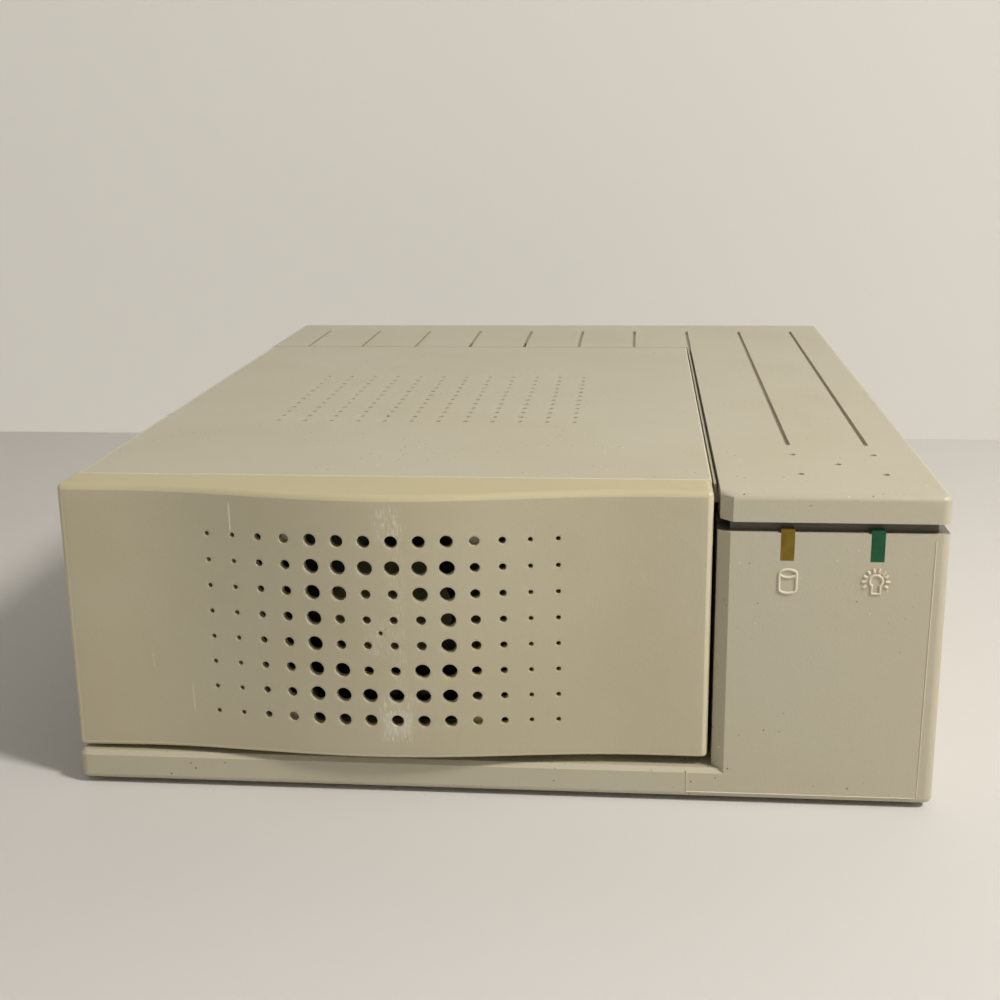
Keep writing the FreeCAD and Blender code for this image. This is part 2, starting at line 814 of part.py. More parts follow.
def make_top_housing():
    """The lid strip over the column and the strip across the back, moulded as one piece."""
    shell = body("housing_shell")
    plan = sketch(shell, "housing_plan", "XY_Plane", lip_bottom)
    outline(plan, [
        (lid_x, face), (right, face), (right, back), (left, back), (left, strip_y), (lid_x, strip_y),
    ])
    pad(shell, "housing_slab", plan, top - lip_bottom)

    side = sketch(shell, "side_plan", "XY_Plane", sill)
    outline(side, [(left, strip_y), (left + d.wall, strip_y), (left + d.wall, back), (left, back)])
    pad(shell, "side_wall", side, top - sill)

    under = sketch(shell, "under_plan", "XY_Plane", lip_bottom - CUT_OVER)
    outline(under, [
        (lid_x + d.wall, face + d.reveal_depth), (right - d.reveal_depth, face + d.reveal_depth),
        (right - d.reveal_depth, back - d.wall), (left + d.wall, back - d.wall),
        (left + d.wall, strip_y + d.wall), (lid_x + d.wall, strip_y + d.wall),
    ])
    hollow = pocket(shell, "under_cut", under, ceiling - lip_bottom + CUT_OVER, backwards=True)

    def lip_corner(centre, extent):
        return (
            abs(centre.x - lid_x.number) < 0.01
            and abs(centre.y - face.number) < 0.01
            and extent.z > 1
        )

    doc.recompute()
    chamfer = shell.newObject("PartDesign::Chamfer", "lip_end_chamfer")
    chamfer.Base = (hollow, edges_where(hollow.Shape, lip_corner))
    bind(chamfer, "Size", d.column_chamfer)

    def outer_top(centre, extent):
        at_top = abs(centre.z - top.number) < 0.01 and extent.z < 0.01
        front = abs(centre.y - face.number) < 0.01
        rear = abs(centre.y - back.number) < 0.01
        sides = abs(abs(centre.x) - right.number) < 0.01
        return at_top and (front or rear or sides)

    def outer_upright(centre, extent):
        at_corner = abs(abs(centre.x) - right.number) < 0.01
        at_end = abs(centre.y - face.number) < 0.01 or abs(centre.y - back.number) < 0.01
        return at_corner and at_end and extent.z > 1

    corners = round_edges(shell, "housing_corners", chamfer, d.corner_radius, outer_upright)
    doc.recompute()

    def rim(centre, extent):
        at_top = abs(centre.z - top.number) < 0.01 and extent.z < 0.01
        inside = centre.x < lid_x.number + 0.01 and centre.y < strip_y.number + 0.01
        return at_top and not inside and not (abs(centre.y - strip_y.number) < 0.01)

    round_edges(shell, "housing_rim", corners, d.lip_radius, rim)

    shelf_top = ceiling - d.seam_gap
    shelf_zs = (shelf_top - d.shelf_thickness, shelf_top)
    shelf_left = panel_right - d.shelf_reach
    rib_left = panel_right + (d.housing_gap - d.gap_rib) / 2
    added = [
        block("strip_shelf", (shelf_left, lid_x + d.wall), (cover_front, strip_y + d.wall), shelf_zs),
        block("strip_shelf_web", (lid_x, lid_x + d.wall), (cover_front, strip_y), (shelf_zs[0], ceiling)),
        block("gap_rib", (rib_left, rib_left + d.gap_rib), (cover_front, strip_y),
              (shelf_zs[0], top - d.gap_rib_drop)),
        block("rear_shelf", (left + d.wall, lid_x), (strip_y - d.cover_lip, strip_y + d.wall), shelf_zs),
        block("rear_shelf_web", (left + d.wall, lid_x), (strip_y, strip_y + d.wall), (shelf_zs[0], ceiling)),
    ]
    for number, (x, y) in enumerate(BOSSES):
        added.append(prism(f"hanger_{number}", "z", (x, y, base + d.boss_height), d.boss_radius,
                         ceiling - base - d.boss_height + d.wall / 2))

    tools = []
    groove_zs = (top - d.groove_depth, top + CUT_OVER)
    for number in range(2):
        x = right - d.groove_inset - number * d.strip_groove_spacing
        tools.append(block(f"strip_groove_{number}", (x - d.groove_width / 2, x + d.groove_width / 2),
                           (face + d.groove_start, back - d.groove_end_depth), groove_zs))
    groove_pitch = (column_x - left - d.rear_groove_inset) / (REAR_GROOVES - 1)
    for number in range(REAR_GROOVES):
        x = column_x - number * groove_pitch
        tools.append(block(f"rear_groove_{number}", (x - d.groove_width / 2, x + d.groove_width / 2),
                           (strip_y, back - d.groove_end_depth), groove_zs))
        if number in LATCH_GROOVES:
            tools.append(block(f"latch_slot_{number}", (x - d.groove_width / 2, x + d.groove_width / 2),
                               (strip_y + d.slot_inset, strip_y + d.slot_inset + d.slot_length),
                               (ceiling - CUT_OVER, top + CUT_OVER)))
    dimple_x = right - d.groove_inset - d.strip_groove_spacing / 2
    dimple_y = face + d.dimple_middle
    spots = [(0, 0), (1, 1), (1, -1), (-1, 1), (-1, -1)]
    for number, (across, along) in enumerate(spots):
        tools.append(prism(f"dimple_{number}", "z",
                         (dimple_x + across * d.dimple_spread, dimple_y + along * d.dimple_spread,
                          top - d.groove_depth), d.dimple / 2, d.groove_depth + CUT_OVER))
    for number, (x, y) in enumerate(BOSSES):
        tools.append(prism(f"hanger_bore_{number}", "z", (x, y, base + d.boss_height - CUT_OVER),
                         d.screw_radius, d.screw_bite + CUT_OVER))
    whole = fuse("housing_with_shelves", shell, *added)
    keep("top_housing", cut("housing_finished", whole, *tools))


def perforation(name, along, start, length, places):
    """Prisms for a field of holes, one for each (across, up, diameter, sides) in places."""
    bars = []
    for across, up, diameter, sides in places:
        radius = diameter / 2
        ring = []
        for step in range(sides + 1):
            turn = 2 * math.pi * (step + 0.5) / sides
            u, v = across + radius * math.cos(turn), up + radius * math.sin(turn)
            ring.append(FreeCAD.Vector(u, start, v) if along == "y" else FreeCAD.Vector(u, v, start))
        way = FreeCAD.Vector(0, length, 0) if along == "y" else FreeCAD.Vector(0, 0, length)
        bars.append(Part.Face(Part.makePolygon(ring)).extrude(way))
    return fixed(name, Part.makeCompound(bars))


def make_bay_cover():
    """Top and left side of the drive bay in one piece, with the vent field over the drive."""
    shell = body("cover_shell")
    end = sketch(shell, "cover_end", "XZ_Plane", -cover_back)
    foot = sill + d.seam_gap
    outline(end, [
        (left, foot), (left + d.wall, foot), (left + d.wall, ceiling),
        (panel_right, ceiling), (panel_right, top), (left, top),
    ])
    slab = pad(shell, "cover_slab", end, cover_back - cover_front)

    def shoulder(centre, extent):
        return abs(centre.x - left.number) < 0.01 and abs(centre.z - top.number) < 0.01 and extent.y > 1

    round_edges(shell, "cover_shoulder", slab, d.lip_radius, shoulder)
    tabs = []
    for number, side in enumerate((-1, 1)):
        x = bay_x + side * d.tongue_spread
        tabs.append(block(
            f"cover_tab_{number}", (x - d.cover_tab_width / 2, x + d.cover_tab_width / 2),
            (strip_y - d.cover_lip - d.seam_gap - d.cover_tab_depth, strip_y - d.cover_lip - d.seam_gap),
            (ceiling - d.cover_tab_drop, ceiling + d.wall / 2),
        ))
    places = []
    for column in range(TOP_COLUMNS):
        for line in range(TOP_ROWS):
            x = bay_x + (column - (TOP_COLUMNS - 1) / 2) * d.top_pitch_x
            y = face + d.top_holes_start + line * d.top_pitch_y
            places.append((x.number, y.number, sheet.top_hole, 4))
    holes = perforation("cover_holes", "z", (ceiling - CUT_OVER).number, sheet.wall + 2 * CUT_OVER, places)
    keep("bay_cover", cut("cover_finished", fuse("cover_with_tabs", shell, *tabs), holes))


def front_hole(column, line):
    """Diameter and sides of one hole of the front field, by its steps from the middle."""
    across, up = abs(column), abs(line)
    if across > 6:
        return sheet.rim_hole, 4
    if across > 5:
        return sheet.inner_rim_hole, 4
    if across > 4:
        return sheet.small_hole, 4
    if across > 3:
        return sheet.step_hole, 4
    if up > 3:
        return sheet.edge_row_hole, 6
    if up > 2 or across > 2 or (up > 1 and across > 1):
        return sheet.large_hole, 6
    return (sheet.hub_hole if up > 1 or across > 1 else sheet.centre_hole), 4


def make_front_panel():
    """The bowed bezel of the bay, open at the back, with its graded field of holes, and its two tongues."""
    shell = body("panel_shell")
    foot = sill + d.panel_foot_gap
    height = top - foot

    def bowed(inset, rear):
        """The plan of the panel: straight ends and, between them, the bow as a row of narrow flats."""
        y = face + d.panel_setback + inset
        corners = [(left + inset, y)]
        for step in range(BOW_FLATS + 1):
            share = step / BOW_FLATS
            swell = (1 - math.cos(2 * math.pi * share)) / 2
            corners.append((bay_x + (share - 1 / 2) * d.bow_width, y - swell * d.bow_depth))
        return corners + [(panel_right - inset, y), (panel_right - inset, rear), (left + inset, rear)]

    plan = sketch(shell, "panel_plan", "XY_Plane", foot)
    outline(plan, bowed(size(0), seam_y))
    slab = pad(shell, "panel_slab", plan, height)

    def front_edges(centre, extent):
        flat = extent.z < 0.01 and centre.y < seam_y.number - 1
        ends = abs(centre.x - left.number) < 0.01 or abs(centre.x - panel_right.number) < 0.01
        along_bow = flat and not ends
        upright = ends and extent.z > 1 and centre.y < seam_y.number - 1
        return along_bow or upright

    rounded = round_edges(shell, "panel_round", slab, d.panel_edge_radius, front_edges)
    inside = sketch(shell, "panel_inside", "XY_Plane", top - d.panel_wall)
    outline(inside, bowed(d.panel_wall, seam_y + CUT_OVER))
    pocket(shell, "panel_hollow", inside, height - 2 * d.panel_wall)
    tongues = []
    for number, side in enumerate((-1, 1)):
        x = bay_x + side * d.tongue_spread
        tongues.append(block(
            f"panel_tongue_{number}", (x - d.tongue_width / 2, x + d.tongue_width / 2),
            (seam_y - d.tongue_root, seam_y + d.tongue_length),
            (sill + d.seam_gap, sill + d.seam_gap + d.tongue_thickness),
        ))
    places = [(bay_x.number, fan_z.number, sheet.pin_hole, 4)]
    for column in range(FRONT_COLUMNS):
        for line in range(FRONT_ROWS):
            across = column - (FRONT_COLUMNS - 1) / 2
            up = line - (FRONT_ROWS - 1) / 2
            diameter, sides = front_hole(across, up)
            x, z = bay_x + across * d.front_pitch_x, fan_z + up * d.front_pitch_z
            places.append((x.number, z.number, diameter, sides))
    depth = sheet.bow_depth + sheet.panel_wall + 2 * CUT_OVER
    start = (face + d.panel_setback - d.bow_depth).number - CUT_OVER
    holes = perforation("panel_holes", "y", start, depth, places)
    keep("front_panel", cut("panel_finished", shell, holes, *tongues))
    keep("panel_tongues", group("tongues", *tongues))


def make_lamps():
    """Two light pipes in the column's notches, and the small board with a lamp behind each."""
    middle = column_top - d.lens_height / 2 + d.lens_rise / 2
    leds = []
    for word, x in LAMPS:
        ends = (x - d.lens_width / 2, x + d.lens_width / 2)
        lens = block(f"{word}_pipe", ends, (face, face + d.lens_length),
                     (column_top - d.lens_height, column_top + d.lens_rise))
        keep(f"{word}_lens", lens)
        leds.append(prism(f"{word}_led", "y", (x, face + d.lens_length, middle), d.led_radius, d.led_length))
    keep("indicator_leds", group("leds", *leds))
    half = d.led_board_width / 2
    keep("led_board", block("led_board_plate", (lamp_post_x - half, lamp_post_x + half),
                            (lamp_board_y, lamp_board_y + d.board_thickness),
                            (lamp_post_z - d.led_board_height / 2, lamp_post_z + d.led_board_height / 2)))


def make_feet():
    """Four round rubber feet, set in shallow seats under the tray."""
    feet = [
        prism(f"foot_{number}", "z", (x, y, size(0)), d.foot_radius, d.foot_proud + d.foot_recess,
              ROUND_SIDES)
        for number, (x, y) in enumerate(FEET)
    ]
    keep("rubber_feet", group("feet", *feet))


def make_fan():
    """Square fan frame with its round duct, and the rotor with twisted blades."""
    def plate(name, start):
        return block(name, (bay_x - fan_half, bay_x + fan_half), (start, start + d.fan_flange),
                     (fan_z - fan_half, fan_z + fan_half))

    duct = common("fan_duct", prism("fan_duct_round", "y", (bay_x, fan_y, fan_z),
                                    fan_bore + d.fan_duct_wall, d.fan_depth, DUCT_SIDES),
                  block("fan_duct_square", (bay_x - fan_half, bay_x + fan_half), (fan_y, fan_back),
                        (fan_z - fan_half, fan_z + fan_half)))
    shell = fuse("fan_shell", plate("fan_front", fan_y), plate("fan_rear", fan_back - d.fan_flange), duct)
    tools = [prism("fan_bore_cut", "y", (bay_x, fan_y - CUT_OVER, fan_z), fan_bore,
                   d.fan_depth + 2 * CUT_OVER, DUCT_SIDES)]
    half = fan_half - d.fan_hole_inset
    for number, (across, up) in enumerate(((-1, -1), (1, -1), (1, 1), (-1, 1))):
        tools.append(prism(f"fan_hole_{number}", "y",
                           (bay_x + across * half, fan_y - CUT_OVER, fan_z + up * half),
                           d.fan_screw, d.fan_depth + 2 * CUT_OVER))
    opened = cut("fan_opened", shell, *tools)
    spider_y = fan_back - d.fan_flange
    arm = d.fan_spoke / 2
    spokes = [
        block("fan_spoke_flat", (bay_x - fan_half, bay_x + fan_half),
              (spider_y, fan_back), (fan_z - arm, fan_z + arm)),
        block("fan_spoke_tall", (bay_x - arm, bay_x + arm), (spider_y, fan_back),
              (fan_z - fan_half, fan_z + fan_half)),
        prism("fan_stator", "y", (bay_x, spider_y, fan_z), d.hub_radius, d.fan_flange, DUCT_SIDES),
    ]
    spider = fuse("fan_spider", *spokes)
    axle_hole = rod("fan_axle_hole", "y", (bay_x, spider_y - CUT_OVER, fan_z),
                    d.axle_radius + d.axle_play, d.fan_flange + 2 * CUT_OVER)
    keep("fan_frame", cut("fan_frame_finished", fuse("fan_whole", opened, spider), axle_hole))

    depth = d.fan_depth - d.fan_flange - 2 * d.fan_end_gap
    front = fan_y + d.fan_end_gap
    drum = prism("hub_drum_outer", "y", (bay_x, front, fan_z), d.hub_radius, depth, DUCT_SIDES)
    hollow = prism("hub_hollow", "y", (bay_x, front + d.hub_wall, fan_z), d.hub_radius - d.hub_wall,
                   depth, DUCT_SIDES)
    axle = rod("fan_axle", "y", (bay_x, front + d.hub_wall / 2, fan_z), d.axle_radius,
               d.fan_depth - 2 * d.fan_end_gap - d.hub_wall / 2)
    blades = [fan_blade(number, d.fan_end_gap + depth / 2) for number in range(int(sheet.blade_count))]
    keep("fan_rotor", fuse("rotor_whole", cut("hub_cup", drum, hollow), axle, *blades))


def fan_blade(number, middle):
    """One blade, thin and twisted from root to tip, at its turn around the hub."""
    thick = d.blade_thickness.number / 2

    def section(reach, rise, run):
        y, x, rise, run = middle.number, reach.number, rise.number, run.number
        return [
            FreeCAD.Vector(x, y - run - thick, -rise), FreeCAD.Vector(x, y - run + thick, -rise),
            FreeCAD.Vector(x, y + run + thick, rise), FreeCAD.Vector(x, y + run - thick, rise),
        ]

    root = section(d.hub_radius - d.hub_wall / 2, d.blade_root_rise, d.blade_root_run)
    tip = section(fan_bore - d.blade_tip_gap, d.blade_tip_rise, d.blade_tip_run)
    rings = [root[::-1], tip]
    for near in range(len(root)):
        far = (near + 1) % len(root)
        if near < len(root) / 2:
            rings.extend([[root[near], root[far], tip[far]], [root[near], tip[far], tip[near]]])
        else:
            rings.extend([[root[near], root[far], tip[near]], [root[far], tip[far], tip[near]]])
    skin = Part.Shell([Part.Face(Part.makePolygon(ring + ring[:1])) for ring in rings])
    blade = Part.Solid(skin)
    blade.rotate(FreeCAD.Vector(), FreeCAD.Vector(0, 1, 0), FULL_TURN * number / sheet.blade_count)
    thing = fixed(f"fan_blade_{number}", blade)
    place(thing, bay_x, fan_y, fan_z)
    return thing


def make_drive():
    """The disk mechanism: casting, lid, board, platters on their hub, the arm and its magnet."""
    x0, x1 = bay_x - drive_width / 2, bay_x + drive_width / 2
    y0, y1 = face + d.drive_start, face + d.drive_start + drive_length
    board_top = drive_z + d.drive_board_space
    lid_z = drive_z + drive_height - d.lid_thickness
    deck = board_top + d.casting_floor
    wall = d.casting_wall
    shell = block("casting_block", (x0, x1), (y0, y1), (board_top, lid_z))
    hollow = block("casting_hollow", (x0 + wall, x1 - wall), (y0 + wall, y1 - wall), (deck, lid_z + CUT_OVER))
    spindle_y = y0 + drive_width / 2
    pivot = (bay_x + drive_width / 2 - d.arm_pivot_inset, y1 - d.arm_pivot_depth)
    stack_height = lid_z - deck - d.motor_height - d.stack_headroom
    arm_height = lid_z - deck - 2 * d.pivot_end - d.arm_headroom
    platter_pitch = (stack_height - d.stack_margin) / PLATTERS
    platter_radius = least(drive_width / 2 - d.platter_side_room, pivot[1] - spindle_y - d.platter_arm_room)
    motor = prism("motor_boss", "z", (bay_x, spindle_y, deck - CUT_OVER), d.spindle_radius,
                  d.motor_height + CUT_OVER, ROUND_SIDES)
    post = rod("pivot_post", "z", (pivot[0], pivot[1], deck - CUT_OVER), d.pivot_post_radius,
               arm_height + 2 * d.pivot_end + CUT_OVER)
    shaft = rod("spindle_shaft", "z", (bay_x, spindle_y, deck), d.shaft_radius,
                d.motor_height + stack_height)
    keep("drive_casting", fuse("casting_whole", cut("casting_open", shell, hollow), motor, post, shaft))
    keep("drive_lid", block("lid_plate", (x0, x1), (y0, y1), (lid_z, lid_z + d.lid_thickness)))

    board_z0 = board_top - d.board_thickness
    inset = d.casting_wall
    plate = block("drive_board_plate", (x0 + inset, x1 - inset), (y0 + inset, y1 - d.header_setback),
                  (board_z0, board_top))
    chips = []
    for number, (share_x, share_y, side) in enumerate(DRIVE_CHIPS):
        cx, cy = bay_x + share_x, y0 + share_y
        chips.append(block(f"drive_chip_{number}", (cx - side / 2, cx + side / 2),
                           (cy - side / 2, cy + side / 2), (board_z0 - d.chip_height, board_z0)))
    header = block("drive_header", (bay_x - d.header_width / 2, bay_x + d.header_width / 2),
                   (y1 - d.header_setback - CUT_OVER, y1), (drive_z, board_top))
    socket = block("drive_power_socket", (drive_socket_x - d.terminal_end, drive_socket_x + d.terminal_end),
                   (y1 - d.header_setback - CUT_OVER, y1), (drive_z, board_top))
    keep("drive_board", fuse("drive_board_whole", plate, header, socket, *chips))

    stack_z = deck + d.motor_height + d.running_gap
    hub = prism("hub_drum", "z", (bay_x, spindle_y, stack_z), d.hub_ring_radius,
                stack_height - d.running_gap, ROUND_SIDES)
    bore = rod("hub_bore", "z", (bay_x, spindle_y, stack_z - CUT_OVER), d.shaft_radius + d.axle_play,
               stack_height + 2 * CUT_OVER)
    keep("spindle_hub", cut("hub_bored", hub, bore))
    disks = []
    for number in range(PLATTERS):
        z = stack_z + d.platter_first + number * platter_pitch
        ring = prism(f"platter_ring_{number}", "z", (bay_x, spindle_y, z), platter_radius,
                     d.platter_thickness, DISK_SIDES)
        eye = prism(f"platter_eye_{number}", "z", (bay_x, spindle_y, z - CUT_OVER), d.hub_ring_radius,
                    d.platter_thickness + 2 * CUT_OVER, ROUND_SIDES)
        disks.append(cut(f"platter_{number}", ring, eye))
    keep("disk_platters", group("disk_stack", *disks))

    arm_z = deck + d.pivot_end
    barrel = prism("arm_barrel", "z", (pivot[0], pivot[1], arm_z), d.arm_pivot_radius, arm_height, ROUND_SIDES)
    fingers = []
    for number in range(PLATTERS + 1):
        z = stack_z + d.platter_first + (number - 0.5) * platter_pitch + d.platter_thickness / 2
        fingers.append(arm_finger(f"arm_finger_{number}", pivot, z))
    coil_z = deck + d.pivot_end + arm_height / 2 - d.arm_thickness / 2
    coil = block("arm_coil", (pivot[0] - d.coil_width / 2, pivot[0] + d.coil_width / 2),
                 (pivot[1], pivot[1] + d.coil_reach), (coil_z, coil_z + d.arm_thickness))
    eye = rod("arm_eye", "z", (pivot[0], pivot[1], arm_z - CUT_OVER), d.pivot_post_radius + d.axle_play,
              arm_height + 2 * CUT_OVER)
    keep("actuator_arm", cut("arm_bored", fuse("arm_whole", barrel, coil, *fingers), eye))

    reach = (pivot[1] + d.arm_pivot_radius + d.magnet_gap, y1 - wall)
    width = (pivot[0] - d.magnet_half, x1 - wall)
    lower = block("magnet_lower", width, reach, (deck, coil_z - d.magnet_gap))
    upper_z = coil_z + d.arm_thickness + d.magnet_gap
    upper = block("magnet_upper", width, reach, (upper_z, upper_z + d.magnet_thickness))
    web = block("magnet_web", width, (y1 - wall - d.magnet_web, y1 - wall),
                (deck, upper_z + d.magnet_thickness))
    keep("coil_magnet", fuse("magnet_whole", lower, upper, web))


def arm_finger(name, pivot, z):
    """One tapered arm that reaches from the pivot over or under a platter."""
    reach = d.arm_reach.number
    root, tip = d.arm_width.number / 2, d.arm_tip.number / 2
    x, y = pivot[0].number, pivot[1].number
    turn = math.radians(sheet.arm_rest_angle)
    along = FreeCAD.Vector(-math.sin(turn), -math.cos(turn), 0)
    across = FreeCAD.Vector(math.cos(turn), -math.sin(turn), 0)
    start = FreeCAD.Vector(x, y, z.number)
    corners = [start - across * root, start + across * root,
               start + along * reach + across * tip, start + along * reach - across * tip]
    outline_face = Part.Face(Part.makePolygon(corners + corners[:1]))
    return fixed(name, outline_face.extrude(FreeCAD.Vector(0, 0, d.arm_thickness.number)))


def make_bracket():
    """Sheet-steel tray that carries the drive by its sides, on four rubber grommets."""
    x0, x1 = bay_x - drive_width / 2, bay_x + drive_width / 2
    t = d.bracket_thickness
    bracket_length = drive_length - d.bracket_short
    ys = (face + d.bracket_start, face + d.bracket_start + bracket_length)
    z0 = base + d.bracket_floor
    profile = body("bracket_sheet")
    end = sketch(profile, "bracket_end", "XZ_Plane", -ys[1])
    side_top = z0 + d.bracket_side
    outline(end, [
        (x0 - t, z0), (x1 + t, z0), (x1 + t, side_top), (x1, side_top),
        (x1, z0 + t), (x0, z0 + t), (x0, side_top), (x0 - t, side_top),
    ])
    pad(profile, "bracket_bend", end, bracket_length)
    window = block("bracket_window", (x0 + d.bracket_window_inset, x1 - d.bracket_window_inset),
                   (ys[0] + d.bracket_window_inset, ys[1] - d.bracket_window_inset),
                   (z0 - CUT_OVER, z0 + t + CUT_OVER))
    rubbers, screws, holes = [], [], []
    inset = d.grommet_inset
    spots = [(x, y) for x in (x0 + inset, x1 - inset) for y in (ys[0] + inset, ys[1] - inset)]
    for number, (x, y) in enumerate(spots):
        rubbers.append(prism(f"grommet_{number}", "z", (x, y, floor), d.grommet_radius, z0 - floor))
    screw_z = drive_z + d.drive_screw_height
    for number, (y, side) in enumerate([(y, s) for y in (ys[0] + inset, ys[1] - inset) for s in (0, 1)]):
        x = x0 - t if side == 0 else x1
        holes.append(prism(f"bracket_hole_{number}", "x", (x - CUT_OVER, y, screw_z), d.screw_radius,
                         t + 2 * CUT_OVER))
        head_x = x0 - t - d.screw_head_height if side == 0 else x1 + t
        screws.append(fuse(
            f"drive_screw_{number}",
            prism(f"drive_screw_head_{number}", "x", (head_x, y, screw_z), d.screw_head,
                  d.screw_head_height),
            prism(f"drive_screw_shank_{number}", "x", (x, y, screw_z), d.screw_radius, t),
        ))
    keep("drive_bracket", cut("bracket_finished", profile, window, *holes))
    keep("bracket_grommets", group("grommets", *rubbers))
    keep("drive_screws", group("drive_screw_set", *screws))


def make_supply():
    """The power supply on its board: transformer, capacitors, finned heat sink and the shield beside it."""
    plate = block("power_board_plate", (supply_left, supply_right), (supply_y, supply_back),
                  (board_z, board_top_z))
    rear_block = block("supply_terminals", (lead_x(0) - d.terminal_end, lead_x(2) + d.terminal_end),
                       (supply_back - d.terminal_depth, supply_back),
                       (board_top_z, board_top_z + d.terminal_height))
    front_block = block("fan_terminal", (fan_lead_x - d.terminal_end, fan_lead_x + d.terminal_end),
                        (supply_y, supply_y + d.terminal_depth), (board_top_z, board_top_z + d.terminal_height))
    keep("power_board", fuse("power_board_whole", plate, rear_block, front_block))
    heads = []
    for number, (x, y) in enumerate(supply_posts()):
        heads.append(prism(f"board_screw_{number}", "z", (x, y, board_top_z), d.post_radius,
                           d.screw_head_height))
    keep("board_screws", group("board_screw_set", *heads))
    middle = (supply_left + supply_right) / 2
    start = face + d.transformer_start
    half = d.transformer_width / 2
    ys = (start, start + d.transformer_length)
    core = block("transformer_core", (middle - half, middle + half), ys,
                 (board_top_z, board_top_z + d.transformer_height))
    limb = d.transformer_limb
    windows = [
        block(f"transformer_window_{number}", (middle - half - CUT_OVER, middle + half + CUT_OVER), span,
              (board_top_z + limb, board_top_z + d.transformer_height - limb))
        for number, span in enumerate((
            (ys[0] + limb, start + (d.transformer_length - limb) / 2),
            (start + (d.transformer_length + limb) / 2, ys[1] - limb),
        ))
    ]
    coil = block("transformer_coil", (middle - half - d.coil_bulge, middle + half + d.coil_bulge),
                 (ys[0] + limb, ys[1] - limb), (board_top_z + limb, board_top_z + d.transformer_height - limb))
    keep("transformer", fuse("transformer_whole", cut("transformer_open", core, *windows), coil))

    cans = []
    for number in range(CAPACITORS):
        y = supply_y + d.capacitor_start + number * (2 * d.capacitor_radius + d.capacitor_gap)
        cans.append(prism(f"capacitor_{number}", "z", (middle, y, board_top_z), d.capacitor_radius,
                          d.capacitor_height, ROUND_SIDES))
    keep("filter_capacitors", group("capacitors", *cans))

    sink_y = ys[1] + d.sink_gap
    sink_length = supply_back - d.terminal_depth - sink_y
    spine = block("sink_spine", (middle - d.sink_spine / 2, middle + d.sink_spine / 2),
                  (sink_y, sink_y + sink_length), (board_top_z, board_top_z + d.sink_height))
    fins = []
    for number in range(int(sheet.sink_fins)):
        y = sink_y + number * (sink_length - d.sink_fin) / (d.sink_fins - 1)
        fins.append(block(f"sink_fin_{number}", (middle - d.sink_half, middle + d.sink_half),
                          (y, y + d.sink_fin), (board_top_z, board_top_z + d.sink_height)))
    keep("heat_sink", fuse("sink_whole", spine, *fins))

    shield = body("shield_sheet")
    t = d.shield_thickness
    x0 = column_x + d.wall
    end = sketch(shield, "shield_end", "XZ_Plane", -supply_back)
    peak = floor + d.shield_height
    outline(end, [
        (x0, floor), (x0 + t, floor), (x0 + t, peak - t), (x0 + d.shield_flange, peak - t),
        (x0 + d.shield_flange, peak), (x0, peak),
    ])
    pad(shield, "shield_bend", end, supply_length)
    keep("power_shield", shield)


def make_connector(node, z):
    """A ribbon-contact socket: flange on the plate, open shell, contact tongue and a solid back."""
    x = connector_x
    flange_y = back - d.plate_recess
    half_w, half_h = d.shell_width / 2, d.shell_height / 2
    flange = block(f"{node}_flange", (x - d.flange_width / 2, x + d.flange_width / 2),
                   (flange_y, flange_y + d.flange_thickness),
                   (z - d.flange_height / 2, z + d.flange_height / 2))
    shell = block(f"{node}_shell", (x - half_w, x + half_w),
                  (plate_y - d.connector_back, flange_y + d.shell_proud), (z - half_h, z + half_h))
    wall = d.shell_wall
    socket = block(f"{node}_socket", (x - half_w + wall, x + half_w - wall),
                   (plate_y, flange_y + d.shell_proud + CUT_OVER), (z - half_h + wall, z + half_h - wall))
    bar = block(f"{node}_bar", (x - half_w + 2 * d.tongue_bar, x + half_w - 2 * d.tongue_bar),
                (plate_y - CUT_OVER, flange_y + d.shell_proud - wall),
                (z - d.tongue_bar / 2, z + d.tongue_bar / 2))
    ears, holes = [], []
    for side in (-1, 1):
        ear_x = bail_pivot_x(side)
        for level in (-1, 1):
            ear_z = z + level * d.ear_offset
            ears.append(block(
                f"{node}_ear_{side + 1}{level + 1}", (ear_x - d.ear_half, ear_x + d.ear_half),
                (flange_y + d.flange_thickness - CUT_OVER, bail_y + d.ear_half),
                (ear_z - d.ear_thickness / 2, ear_z + d.ear_thickness / 2),
            ))
        holes.append(rod(f"{node}_ear_hole_{side + 1}", "z", (ear_x, bail_y, z - d.ear_offset - CUT_OVER),
                         d.bail_wire + d.axle_play, 2 * (d.ear_offset + CUT_OVER)))
        holes.append(block(f"{node}_bail_room_{side + 1}",
                           (ear_x - d.ear_half, ear_x + d.ear_half),
                           (bail_y - d.bail_wire - d.running_gap, bail_y + d.ear_half),
                           (z - d.ear_offset + d.ear_thickness / 2, z + d.ear_offset - d.ear_thickness / 2)))
    shell_open = fuse(f"{node}_shape", cut(f"{node}_hollowed", fuse(f"{node}_outer", flange, shell, *ears),
                                           socket), bar)
    keep(node, cut(f"{node}_finished", shell_open, *holes))


def bail_pivot_x(side):
    """Where the bail on this side of the connectors turns."""
    return connector_x + side * (d.flange_width / 2 - d.bail_inset)


def make_bail(node, side, z):
    """A wire loop with round corners: two stub ends in the ears, two legs and a cross bar."""
    bail_length = (bay_half - d.flange_width / 2 + d.bail_inset) * d.bail_share
    x0 = bail_pivot_x(side).number
    x1 = x0 + side * bail_length.number
    inner = sheet.ear_offset - sheet.ear_thickness / 2 - sheet.running_gap - sheet.bail_bend
    outer = sheet.ear_offset + sheet.ear_thickness / 2
    stops = [(x0, -outer), (x0, -inner), (x1, -inner), (x1, inner), (x0, inner), (x0, outer)]
    points = [FreeCAD.Vector(x, bail_y.number, z.number + height) for x, height in stops]
    keep(node, fixed(f"{node}_wire", wire(points, sheet.bail_bend, sheet.bail_wire)))


